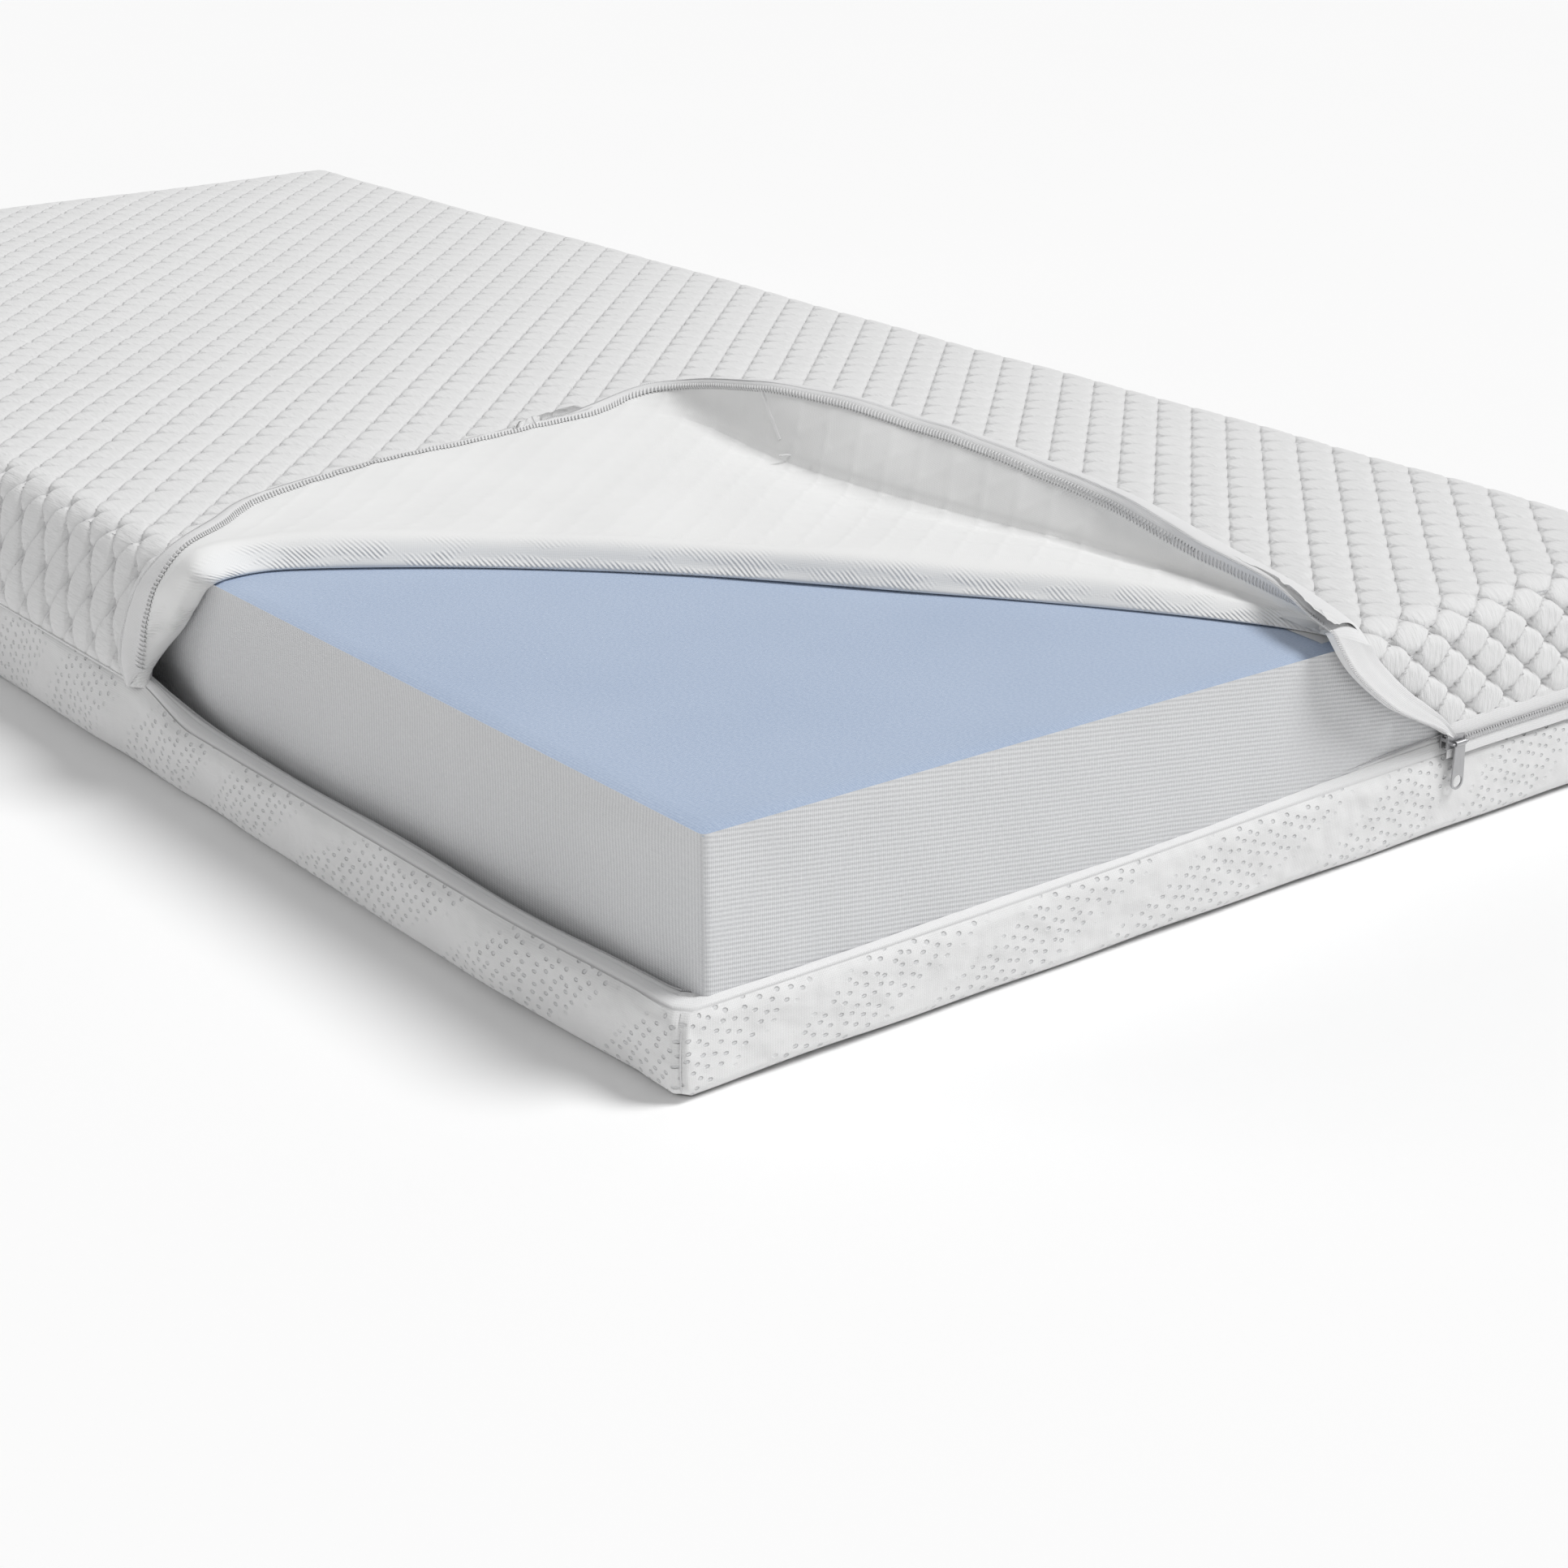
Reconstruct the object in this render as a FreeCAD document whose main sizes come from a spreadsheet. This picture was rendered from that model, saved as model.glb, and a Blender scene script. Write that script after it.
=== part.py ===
import FreeCAD, Part
import os
import Sketcher
from FreeCAD import Vector

# Pressure relief mattress: a two-layer foam core in a knitted liner, inside a zip-off
# quilted cover whose near corner is unzipped and turned back over the bed.
# X runs along the bed to the foot end, Y across it, Z up, and the base lies on Z = 0.

doc = FreeCAD.newDocument("PressureReliefMattress")

SIZES = {
    "bed_length": 2000.0,
    "bed_width": 900.0,
    "bed_height": 165.0,
    "base_cloth": 3.0,
    "border_cloth": 3.0,
    "border_height": 59.0,
    "quilt_thick": 6.0,
    "lining_thick": 1.0,
    "quilt_foot": 81.0,
    "core_gap": 7.5,
    "core_floor": 3.5,
    "core_top": 157.5,
    "liner_thick": 1.5,
    "foam_play": 0.5,
    "base_foam_height": 92.0,
    "tape_thick": 1.0,
    "tape_inset": 0.5,
    "zip_height": 70.0,
    "zip_slit": 0.8,
    "chain_height": 5.0,
    "chain_thick": 2.0,
    "coil_height": 2.3,
    "zip_start": 304.0,
    "slider_place": 186.0,
    "slider_long": 18.0,
    "slider_tall": 10.0,
    "slider_plate": 1.2,
    "slider_clear": 0.4,
    "slider_post": 2.6,
    "bar_radius": 0.8,
    "bar_stand": 5.6,
    "bar_long": 16.0,
    "bar_drop": 1.0,
    "tab_long": 34.0,
    "tab_wide": 12.0,
    "tab_neck": 10.0,
    "tab_thick": 1.2,
    "tab_eye": 9.0,
    "tab_shift": 1.0,
    "barrel_radius": 2.0,
    "barrel_bore": 1.2,
    "fold_left": 405.0,
    "fold_right": 85.0,
    "flap_floor": 167.0,
    "flap_thick": 7.0,
    "flap_tape": 9.0,
    "seam_size": 3.0,
}

sheet = doc.addObject("Spreadsheet::Sheet", "Sizes")
for row, (alias, value) in enumerate(SIZES.items(), start=1):
    sheet.set(f"A{row}", alias)
    sheet.set(f"B{row}", str(value))
    sheet.setAlias(f"B{row}", alias)
doc.recompute()


def size(alias):
    """A driving dimension, read back from the sheet."""
    return float(sheet.get(alias))


subparts = []


def subpart(obj, name):
    """Register an object as one separate piece of the mattress."""
    obj.Label = name
    subparts.append(obj)
    return obj


def bind(obj, **expressions):
    """Bind properties to expressions over the sheet."""
    for prop, text in expressions.items():
        obj.setExpression(prop, text)


def sheet_terms(text):
    """Write an expression with each alias read from the sheet."""
    for alias in sorted(SIZES, key=len, reverse=True):
        text = text.replace(alias, f"Sizes.@{list(SIZES).index(alias)}@")
    for index, alias in enumerate(SIZES):
        text = text.replace(f"@{index}@", alias)
    return text


def block(name, half_x, half_y, floor, tall):
    """A centred box: half sizes, floor height and own height as expressions."""
    box = doc.addObject("Part::Box", name)
    bind(box,
         Length=sheet_terms(f"2 * ({half_x})"),
         Width=sheet_terms(f"2 * ({half_y})"),
         Height=sheet_terms(tall))
    box.setExpression("Placement.Base.x", sheet_terms(f"-({half_x})"))
    box.setExpression("Placement.Base.y", sheet_terms(f"-({half_y})"))
    box.setExpression("Placement.Base.z", sheet_terms(floor))
    return box


def span(name, x_low, x_high, y_low, y_high, z_low, z_high):
    """A box between two corners given as expressions."""
    box = doc.addObject("Part::Box", name)
    bind(box,
         Length=sheet_terms(f"({x_high}) - ({x_low})"),
         Width=sheet_terms(f"({y_high}) - ({y_low})"),
         Height=sheet_terms(f"({z_high}) - ({z_low})"))
    box.setExpression("Placement.Base.x", sheet_terms(x_low))
    box.setExpression("Placement.Base.y", sheet_terms(y_low))
    box.setExpression("Placement.Base.z", sheet_terms(z_low))
    return box


def boolean(kind, name, base, tool):
    """Cut or Common of two objects of the document."""
    result = doc.addObject(f"Part::{kind}", name)
    result.Base = base
    result.Tool = tool
    return result


def group(name, members):
    """Several separate solids that are one sub-part."""
    result = doc.addObject("Part::Compound", name)
    result.Links = members
    return result


def ring(name, outset, thick, floor, tall):
    """A rectangular wall round the bed, with its outer face outset from the cover's."""
    outer = block(f"{name}_outer", f"bed_length / 2 + {outset}", f"bed_width / 2 + {outset}", floor, tall)
    inner = block(f"{name}_inner", f"bed_length / 2 + {outset} - {thick}",
                  f"bed_width / 2 + {outset} - {thick}", floor, tall)
    return boolean("Cut", f"{name}_ring", outer, inner)


def outline(points):
    """Straight edges round a closed polygon."""
    closed = points + points[:1]
    return [Part.LineSegment(a, b).toShape() for a, b in zip(closed, closed[1:])]


def arc(start, middle, end):
    return Part.Arc(start, middle, end).toShape()


def line(start, end):
    return Part.LineSegment(start, end).toShape()


# ---------------------------------------------------------------- foam core


def slab_body(name, half_x, half_y, floor, tall):
    """A foam slab: a dimensioned rectangle, padded up from its floor."""
    body = doc.addObject("PartDesign::Body", name)
    plane = next(f for f in body.Origin.OriginFeatures if f.Role == "XY_Plane")
    sketch = body.newObject("Sketcher::SketchObject", f"{name}_outline")
    sketch.AttachmentSupport = [(plane, "")]
    sketch.MapMode = "FlatFace"
    corners = [Vector(-9, -9), Vector(9, -9), Vector(9, 9), Vector(-9, 9)]
    for start, end in zip(corners, corners[1:] + corners[:1]):
        sketch.addGeometry(Part.LineSegment(start, end), False)
    constraint = Sketcher.Constraint
    for edge in range(4):
        sketch.addConstraint(constraint("Coincident", edge, 2, (edge + 1) % 4, 1))
    for edge in (0, 2):
        sketch.addConstraint(constraint("Horizontal", edge))
    for edge in (1, 3):
        sketch.addConstraint(constraint("Vertical", edge))
    sketch.addConstraint(constraint("Symmetric", 0, 1, 2, 1, -1, 1))
    along = sketch.addConstraint(constraint("Distance", 0, 18.0))
    across = sketch.addConstraint(constraint("Distance", 1, 18.0))
    sketch.renameConstraint(along, "along")
    sketch.renameConstraint(across, "across")
    sketch.setExpression("Constraints.along", sheet_terms(f"2 * ({half_x})"))
    sketch.setExpression("Constraints.across", sheet_terms(f"2 * ({half_y})"))
    pad = body.newObject("PartDesign::Pad", f"{name}_pad")
    pad.Profile = sketch
    pad.setExpression("Length", sheet_terms(tall))
    body.setExpression("Placement.Base.z", sheet_terms(floor))
    return body


CORE_X = "bed_length / 2 - core_gap"
CORE_Y = "bed_width / 2 - core_gap"
FOAM_X = f"{CORE_X} - liner_thick - foam_play"
FOAM_Y = f"{CORE_Y} - liner_thick - foam_play"
FOAM_FLOOR = "core_floor + liner_thick"

subpart(slab_body("BaseFoam", FOAM_X, FOAM_Y, FOAM_FLOOR, "base_foam_height"), "base_foam")
subpart(slab_body("MemoryFoam", FOAM_X, FOAM_Y, f"{FOAM_FLOOR} + base_foam_height",
                  f"core_top - liner_thick - ({FOAM_FLOOR} + base_foam_height)"), "memory_foam")
subpart(block("LinerTop", CORE_X, CORE_Y, "core_top - liner_thick", "liner_thick"), "liner_top")
subpart(block("LinerBottom", CORE_X, CORE_Y, "core_floor", "liner_thick"), "liner_bottom")
subpart(ring("LinerBorder", "(0 - core_gap)", "liner_thick", FOAM_FLOOR,
             f"core_top - liner_thick - ({FOAM_FLOOR})"), "liner_border")

# ------------------------------------------------------- lower half of cover

HALF_X = "bed_length / 2"
HALF_Y = "bed_width / 2"
IN_X = "bed_length / 2 - border_cloth"
IN_Y = "bed_width / 2 - border_cloth"

subpart(block("BottomPanel", IN_X, IN_Y, "0", "base_cloth"), "bottom_panel")
for name, x_low, x_high, y_low, y_high in (
        ("border_left", f"0 - ({IN_X})", IN_X, f"0 - ({HALF_Y})", f"0 - ({IN_Y})"),
        ("border_right", f"0 - ({IN_X})", IN_X, IN_Y, HALF_Y),
        ("border_foot", IN_X, HALF_X, f"0 - ({IN_Y})", IN_Y),
        ("border_head", f"0 - ({HALF_X})", f"0 - ({IN_X})", f"0 - ({IN_Y})", IN_Y)):
    panel = span(name.title().replace("_", ""), x_low, x_high, y_low, y_high, "0", "border_height")
    subpart(panel, name)

corner_posts = []
for index, (x_low, x_high) in enumerate(((IN_X, HALF_X), (f"0 - ({HALF_X})", f"0 - ({IN_X})"))):
    for side, (y_low, y_high) in enumerate(((IN_Y, HALF_Y), (f"0 - ({HALF_Y})", f"0 - ({IN_Y})"))):
        corner_posts.append(span(f"CornerSeam{index}{side}", x_low, x_high, y_low, y_high,
                                 "0", "border_height"))
subpart(group("BorderCornerSeams", corner_posts), "border_corner_seams")

# ------------------------------------------------------------------- the zip

FAR = "bed_length"
SLIT_LOW = "zip_height - zip_slit / 2"
SLIT_HIGH = "zip_height + zip_slit / 2"
CHAIN_OUT = "(chain_thick - tape_inset)"


def zip_run(name, y_low, y_high):
    """The stretch of the zip's U that lies between two places across the bed."""
    return span(name, "zip_start", FAR, y_low, y_high, "0", "bed_height * 2")


closed_from = "slider_place + slider_long / 2 + slider_clear"
lower_ring = ring("LowerTape", "(0 - tape_inset)", "tape_thick", "border_height",
                  f"{SLIT_LOW} - border_height")
subpart(boolean("Common", "LowerZipTape", lower_ring, zip_run("ZipWhole", f"0 - ({FAR})", FAR)),
        "lower_zip_tape")
upper_ring = ring("UpperTape", "(0 - tape_inset)", "tape_thick", SLIT_HIGH,
                  f"quilt_foot - ({SLIT_HIGH})")
subpart(boolean("Common", "UpperZipTape", upper_ring, zip_run("ZipClosed", closed_from, FAR)),
        "upper_zip_tape")
chain_ring = ring("Chain", CHAIN_OUT, "chain_thick", "zip_height - chain_height / 2", "chain_height")
subpart(boolean("Common", "ZipChain", chain_ring, zip_run("ChainRun", closed_from, FAR)), "zip_chain")
coil_ring = ring("OpenCoil", CHAIN_OUT, "chain_thick", f"{SLIT_LOW} - coil_height", "coil_height")
subpart(boolean("Common", "OpenZipCoil", coil_ring,
                zip_run("CoilRun", f"0 - ({FAR})", "slider_place - slider_long / 2")), "open_zip_coil")

seam_ring = ring("PlainSeam", "0", "border_cloth", "border_height", "quilt_foot - border_height")
plain_run = span("PlainRun", f"0 - ({FAR})", "zip_start - seam_size", f"0 - ({FAR})", FAR,
                 "0", "bed_height")
subpart(boolean("Common", "ClosingSeam", seam_ring, plain_run), "closing_seam")
stops = [span(f"EndStop{index}", "zip_start - seam_size", "zip_start", y_low, y_high,
              "border_height", "quilt_foot")
         for index, (y_low, y_high) in enumerate(((IN_Y, HALF_Y), (f"0 - ({HALF_Y})", f"0 - ({IN_Y})")))]
subpart(group("ZipEndStops", stops), "zip_end_stops")

# --------------------------------------------------- upper, quilted half

half_x = size("bed_length") / 2
half_y = size("bed_width") / 2
top = size("bed_height")
fold_a = Vector(size("fold_left"), -half_y, 0)
fold_b = Vector(half_x, size("fold_right"), 0)
fold_dir = (fold_b - fold_a).normalize()
toward_corner = Vector(fold_dir.y, -fold_dir.x, 0)
FOLD_BOW = 62.0
fold_mid = (fold_a + fold_b) * 0.5 - toward_corner * FOLD_BOW
REACH = 40.0


def corner_cut(name, extra):
    """The region that is open at the turned-back corner: a lid and two wall wedges."""
    low = Vector(0, 0, size("zip_height"))
    shift = toward_corner * -extra
    a, m, b = (p + shift for p in (fold_a, fold_mid, fold_b))
    beyond = [b + Vector(REACH, 0, 0), Vector(half_x + REACH, -half_y - REACH, 0), a - Vector(0, REACH, 0)]
    edges = [arc(a, m, b)] + [line(p, q) for p, q in zip([b] + beyond, beyond + [a])]
    lid = Part.Face(Part.Wire(edges)).extrude(Vector(0, 0, 2 * REACH))
    lid.translate(Vector(0, 0, top - REACH))
    slant = top - low.z
    left = [Vector(size("zip_start") - extra, 0, low.z), Vector(a.x, 0, top + 1),
            Vector(half_x + REACH, 0, top + 1), Vector(half_x + REACH, 0, low.z - slant),
            Vector(size("zip_start") - extra, 0, low.z - slant)]
    left_wedge = Part.Face(Part.Wire(outline(left))).extrude(Vector(0, REACH, 0))
    left_wedge.translate(Vector(0, -half_y - REACH / 2, 0))
    slider_y = size("slider_place") + extra
    foot = [Vector(0, slider_y, low.z), Vector(0, b.y, top + 1), Vector(0, -half_y - REACH, top + 1),
            Vector(0, -half_y - REACH, low.z - slant), Vector(0, slider_y, low.z - slant)]
    foot_wedge = Part.Face(Part.Wire(outline(foot))).extrude(Vector(REACH, 0, 0))
    foot_wedge.translate(Vector(half_x - REACH / 2, 0, 0))
    solid = doc.addObject("Part::Feature", name)
    solid.Shape = lid.fuse([left_wedge, foot_wedge])
    return solid


opening = corner_cut("CornerOpening", 0.0)
quilt_outer = block("QuiltOuter", HALF_X, HALF_Y, "quilt_foot", "bed_height - quilt_foot")
quilt_inner = block("QuiltInner", "bed_length / 2 - quilt_thick", "bed_width / 2 - quilt_thick",
                    "quilt_foot", "bed_height - quilt_foot - quilt_thick")
quilt_shell = boolean("Cut", "QuiltShell", quilt_outer, quilt_inner)

corner_cells = [(x, y) for x in (-1, 1) for y in (-1, 1) if (x, y) != (1, -1)]


def corner_post(index, sign_x, sign_y):
    """A sewn corner of the quilted border, a square column the seam's own size."""
    def ends(sign, half):
        low = f"{half} - seam_size" if sign > 0 else f"0 - {half}"
        high = half if sign > 0 else f"0 - {half} + seam_size"
        return low, high
    x_low, x_high = ends(sign_x, HALF_X)
    y_low, y_high = ends(sign_y, HALF_Y)
    return span(f"QuiltSeam{index}", x_low, x_high, y_low, y_high, "quilt_foot",
                "bed_height - quilt_thick")


posts = [corner_post(i, *cell) for i, cell in enumerate(corner_cells)]
post_tools = [corner_post(i + len(posts), *cell) for i, cell in enumerate(corner_cells)]
subpart(group("CoverCornerSeams", posts), "cover_corner_seams")
notched = boolean("Cut", "QuiltNotched", quilt_shell, group("SeamNotches", post_tools))
subpart(boolean("Cut", "TopCover", notched, opening), "top_cover")

lining_outer = block("LiningOuter", "bed_length / 2 - quilt_thick", "bed_width / 2 - quilt_thick",
                     "quilt_foot", "bed_height - quilt_foot - quilt_thick")
lining_inner = block("LiningInner", "bed_length / 2 - quilt_thick - lining_thick",
                     "bed_width / 2 - quilt_thick - lining_thick",
                     "quilt_foot", "bed_height - quilt_foot - quilt_thick - lining_thick")
lining_shell = boolean("Cut", "LiningShell", lining_outer, lining_inner)
subpart(boolean("Cut", "CoverLining", lining_shell, corner_cut("LiningOpening", 0.0)), "cover_lining")

# ---------------------------------------------- turned-back corner of cover

floor = size("flap_floor")
thick = size("flap_thick")
FLAP_INSET = 8.0
LEFT_TUCK = Vector(5, 14, 0)
RIGHT_TUCK = Vector(-18, -9, 0)
LINING_SETBACK = 14.0
left_fold = fold_a + LEFT_TUCK
right_fold = fold_b + RIGHT_TUCK
mid_fold = fold_mid - toward_corner * FLAP_INSET
TIP = Vector(448, 40, 0)
SIDE_EDGE = (Vector(222, 78, 0), Vector(250, -150, 0), Vector(336, -428, 0))


def flat_flap(drop_in, base, tall):
    """The flap's panel with its side border laid flat beside it."""
    start, middle, end = SIDE_EDGE
    inward = Vector(drop_in, 0, 0)
    edges = [arc(left_fold, mid_fold, right_fold), line(right_fold, TIP), line(TIP, start + inward),
             arc(start + inward, middle + inward, end + inward), line(end + inward, left_fold)]
    solid = Part.Face(Part.Wire(edges)).extrude(Vector(0, 0, tall))
    solid.translate(Vector(0, 0, base))
    return solid


crease = (right_fold - TIP).normalize()
WALL_START = 12.0
WALL_LONG = 430.0
WALL_RISE = 38.0
WALL_LEAN = 62.0
WALL_ROOT = 4.0
WALL_CLEAR = 2.0
wall_up = Vector(0, WALL_LEAN, WALL_RISE).normalize()
wall_out = Vector(0, -wall_up.z, wall_up.y)


def end_wall(near, far, low, high):
    """A strip of the flap's end border, between two distances up it and two depths through it."""
    foot = TIP + crease * WALL_START + Vector(0, 0, floor + thick)
    corners = [foot + wall_up * near + wall_out * low, foot + wall_up * far + wall_out * low,
               foot + wall_up * far + wall_out * high, foot + wall_up * near + wall_out * high]
    return Part.Face(Part.Wire(outline(corners))).extrude(crease * WALL_LONG)


wall_tall = (WALL_LEAN ** 2 + WALL_RISE ** 2) ** 0.5
flap = doc.addObject("Part::Feature", "CoverFlap")
flap.Shape = flat_flap(0, floor, thick).fuse(end_wall(-WALL_ROOT, wall_tall, -thick, 0)).removeSplitter()
subpart(flap, "cover_flap")

flap_lining = doc.addObject("Part::Feature", "FlapLining")
flap_lining.Shape = flat_flap(LINING_SETBACK, floor + thick, size("lining_thick")).cut(
    end_wall(-WALL_ROOT - WALL_CLEAR, 2 * wall_tall, -thick - WALL_CLEAR, WALL_CLEAR))
subpart(flap_lining, "flap_lining")

tape_wide = size("flap_tape")
tape_thick = size("tape_thick")


def side_strip(near, far, base, tall):
    """A flat band along the free edge of the side border."""
    start, middle, end = SIDE_EDGE
    inner, outer = Vector(-near, 0, 0), Vector(-far, 0, 0)
    edges = [arc(start + inner, middle + inner, end + inner), line(end + inner, end + outer),
             arc(end + outer, middle + outer, start + outer), line(start + outer, start + inner)]
    solid = Part.Face(Part.Wire(edges)).extrude(Vector(0, 0, tall))
    solid.translate(Vector(0, 0, base))
    return solid


coil_wide = size("coil_height")
COIL_THICK = 1.5
TAPE_LIFT = 2.0
TAPE_DEPTH = -4.0
coil_depth = TAPE_DEPTH + tape_thick
tape = doc.addObject("Part::Feature", "FlapZipTape")
tape.Shape = Part.makeCompound([side_strip(0, tape_wide, floor + TAPE_LIFT, tape_thick),
                                end_wall(wall_tall, wall_tall + tape_wide, TAPE_DEPTH, coil_depth)])
subpart(tape, "flap_zip_tape")
coil = doc.addObject("Part::Feature", "FlapZipCoil")
coil.Shape = Part.makeCompound([
    side_strip(tape_wide - coil_wide, tape_wide, floor + TAPE_LIFT + tape_thick, COIL_THICK),
    end_wall(wall_tall + tape_wide - coil_wide, wall_tall + tape_wide, coil_depth, coil_depth + COIL_THICK)])
subpart(coil, "flap_zip_coil")
SEAM_START = 6.0
SEAM_HIGH = -1.0
seam = doc.addObject("Part::Feature", "FlapCornerSeam")
seam_foot = TIP + crease * (WALL_START - size("seam_size")) + Vector(0, 0, floor + thick)
seam_corners = [seam_foot + wall_up * along + wall_out * through
                for along, through in ((SEAM_START, TAPE_DEPTH), (wall_tall, TAPE_DEPTH),
                                       (wall_tall, SEAM_HIGH), (SEAM_START, SEAM_HIGH))]
seam.Shape = Part.Face(Part.Wire(outline(seam_corners))).extrude(crease * size("seam_size"))
subpart(seam, "flap_corner_seam")

# ------------------------------------------------------- slider and its pull

slide_y = size("slider_place")
long_half = size("slider_long") / 2
tall_half = size("slider_tall") / 2
plate = size("slider_plate")
clear = size("slider_clear")
zip_z = size("zip_height")
tape_in = half_x - size("tape_inset") - size("tape_thick")
chain_out = half_x + size("chain_thick") - size("tape_inset")
back_x = tape_in - clear - plate
front_x = chain_out + clear


TAIL_SHARE = 0.72
POST_INSET = 0.5
LIP_TALL = 1.0
BAR_CLEAR = 0.4
LEG_WIDE = 2.0
EYE_BORE = 4.0


def shield(x_low):
    """One plate of the slider: a shield, wide at its mouth and narrow at its tail."""
    tail = tall_half * TAIL_SHARE
    points = [Vector(x_low, slide_y - long_half, zip_z - tall_half),
              Vector(x_low, slide_y, zip_z - tall_half),
              Vector(x_low, slide_y + long_half, zip_z - tail),
              Vector(x_low, slide_y + long_half, zip_z + tail),
              Vector(x_low, slide_y, zip_z + tall_half),
              Vector(x_low, slide_y - long_half, zip_z + tall_half)]
    return Part.Face(Part.Wire(outline(points))).extrude(Vector(plate, 0, 0))


post_side = size("slider_post")
post_low = zip_z - size("zip_slit") / 2 + clear
post = Part.makeBox(front_x + plate - back_x, post_side, post_side,
                    Vector(back_x, slide_y - long_half + POST_INSET, post_low))
lip_deep = front_x - (half_x - size("tape_inset") + clear)
lips = [Part.makeBox(lip_deep, long_half, LIP_TALL,
                     Vector(front_x - lip_deep, slide_y - long_half, z))
        for z in (zip_z - tall_half, zip_z + tall_half - LIP_TALL)]
slider = doc.addObject("Part::Feature", "SliderBody")
slider.Shape = shield(back_x).fuse([shield(front_x), post] + lips).removeSplitter()
subpart(slider, "slider_body")

bar_x = half_x + size("bar_stand") + BAR_CLEAR
bar_z = zip_z - size("bar_drop")
bar_r = size("bar_radius")
bar_long = size("bar_long")
tab_y = slide_y + size("tab_shift")
bar_low = tab_y - bar_long / 2
bar = Part.makeCylinder(bar_r, bar_long, Vector(bar_x, bar_low, bar_z), Vector(0, 1, 0))
legs = [Part.makeBox(bar_x - front_x - plate, LEG_WIDE, 2 * bar_r,
                     Vector(front_x + plate, y, bar_z - bar_r))
        for y in (bar_low, bar_low + bar_long - LEG_WIDE)]
bridge = doc.addObject("Part::Feature", "SliderBridge")
bridge.Shape = bar.fuse(legs).removeSplitter()
subpart(bridge, "slider_bridge")

neck = size("tab_neck") / 2
wide = size("tab_wide") / 2
barrel_r = size("barrel_radius")
tab_foot = bar_z - size("tab_long")
tab_x = bar_x - size("tab_thick") / 2
round_z = tab_foot + wide
tab_edges = [line(Vector(tab_x, tab_y - neck, bar_z), Vector(tab_x, tab_y - wide, round_z)),
             arc(Vector(tab_x, tab_y - wide, round_z), Vector(tab_x, tab_y, tab_foot),
                 Vector(tab_x, tab_y + wide, round_z)),
             line(Vector(tab_x, tab_y + wide, round_z), Vector(tab_x, tab_y + neck, bar_z)),
             line(Vector(tab_x, tab_y + neck, bar_z), Vector(tab_x, tab_y - neck, bar_z))]
tab_plate = Part.Face(Part.Wire(tab_edges)).extrude(Vector(size("tab_thick"), 0, 0))
barrel = Part.makeCylinder(barrel_r, 2 * neck, Vector(bar_x, tab_y - neck, bar_z), Vector(0, 1, 0))
bore = Part.makeCylinder(size("barrel_bore"), 4 * neck, Vector(bar_x, tab_y - 2 * neck, bar_z),
                         Vector(0, 1, 0))
eye = Part.makeCylinder(size("tab_eye") / 2, EYE_BORE,
                        Vector(tab_x - EYE_BORE / 2, tab_y, round_z), Vector(1, 0, 0))
pull = doc.addObject("Part::Feature", "PullTab")
pull.Shape = tab_plate.fuse(barrel).cut(bore).cut(eye).removeSplitter()
subpart(pull, "pull_tab")

# ------------------------------------------------------------ check and write

doc.recompute()
for obj in doc.Objects:
    if {"Invalid", "Error"} & set(obj.State):
        raise RuntimeError(f"{obj.Label} failed: {obj.State}")
for obj in subparts:
    if obj.Shape.isNull() or not obj.Shape.isValid():
        raise RuntimeError(f"{obj.Label} has no valid shape")

os.makedirs("parts", exist_ok=True)
for obj in subparts:
    obj.Shape.exportStep(os.path.join("parts", f"{obj.Label}.step"))
print(len(subparts), "sub-parts written")
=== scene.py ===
import math

import bpy
import numpy as np
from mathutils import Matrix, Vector


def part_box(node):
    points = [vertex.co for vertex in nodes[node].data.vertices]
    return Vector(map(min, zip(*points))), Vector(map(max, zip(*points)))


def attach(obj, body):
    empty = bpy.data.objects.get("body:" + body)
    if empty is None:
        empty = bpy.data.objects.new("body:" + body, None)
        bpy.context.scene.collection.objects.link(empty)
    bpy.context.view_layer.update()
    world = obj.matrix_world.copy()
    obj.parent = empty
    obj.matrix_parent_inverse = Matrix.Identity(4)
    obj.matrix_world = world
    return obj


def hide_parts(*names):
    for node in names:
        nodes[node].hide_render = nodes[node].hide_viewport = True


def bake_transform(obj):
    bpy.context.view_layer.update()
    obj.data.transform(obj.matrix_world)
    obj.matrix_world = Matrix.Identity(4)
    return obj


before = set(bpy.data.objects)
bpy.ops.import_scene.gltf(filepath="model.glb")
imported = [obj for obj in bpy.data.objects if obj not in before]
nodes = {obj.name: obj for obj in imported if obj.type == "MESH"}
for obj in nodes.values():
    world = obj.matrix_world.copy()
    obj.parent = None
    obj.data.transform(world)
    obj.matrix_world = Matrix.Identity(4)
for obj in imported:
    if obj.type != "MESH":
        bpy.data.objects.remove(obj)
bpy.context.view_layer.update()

# ---- main sizes, in metres
HALF_L, HALF_W = 1.0, 0.45
TOP = 0.1650
EDGE_R, CORNER_R = 0.024, 0.030  # the cover's upper edges, and its upright corners
QUILT_END = 0.081  # height where the quilted walls stop, over the zip
SLACK = 0.004  # how far the cover stands off the plain box
PITCH_X, PITCH_Y = 0.0395, 0.0398  # one leaf of the quilting to the next
CORE_L, CORE_W = 0.9925, 0.4425  # half sizes of the liner and its foams
CORE_LOW, CORE_TOP = 0.0035, 0.1575
ZIP_Z, ZIP_START, SLIDER_Y = 0.070, 0.304, 0.186
FLAP_THICK = 0.0055


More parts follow.
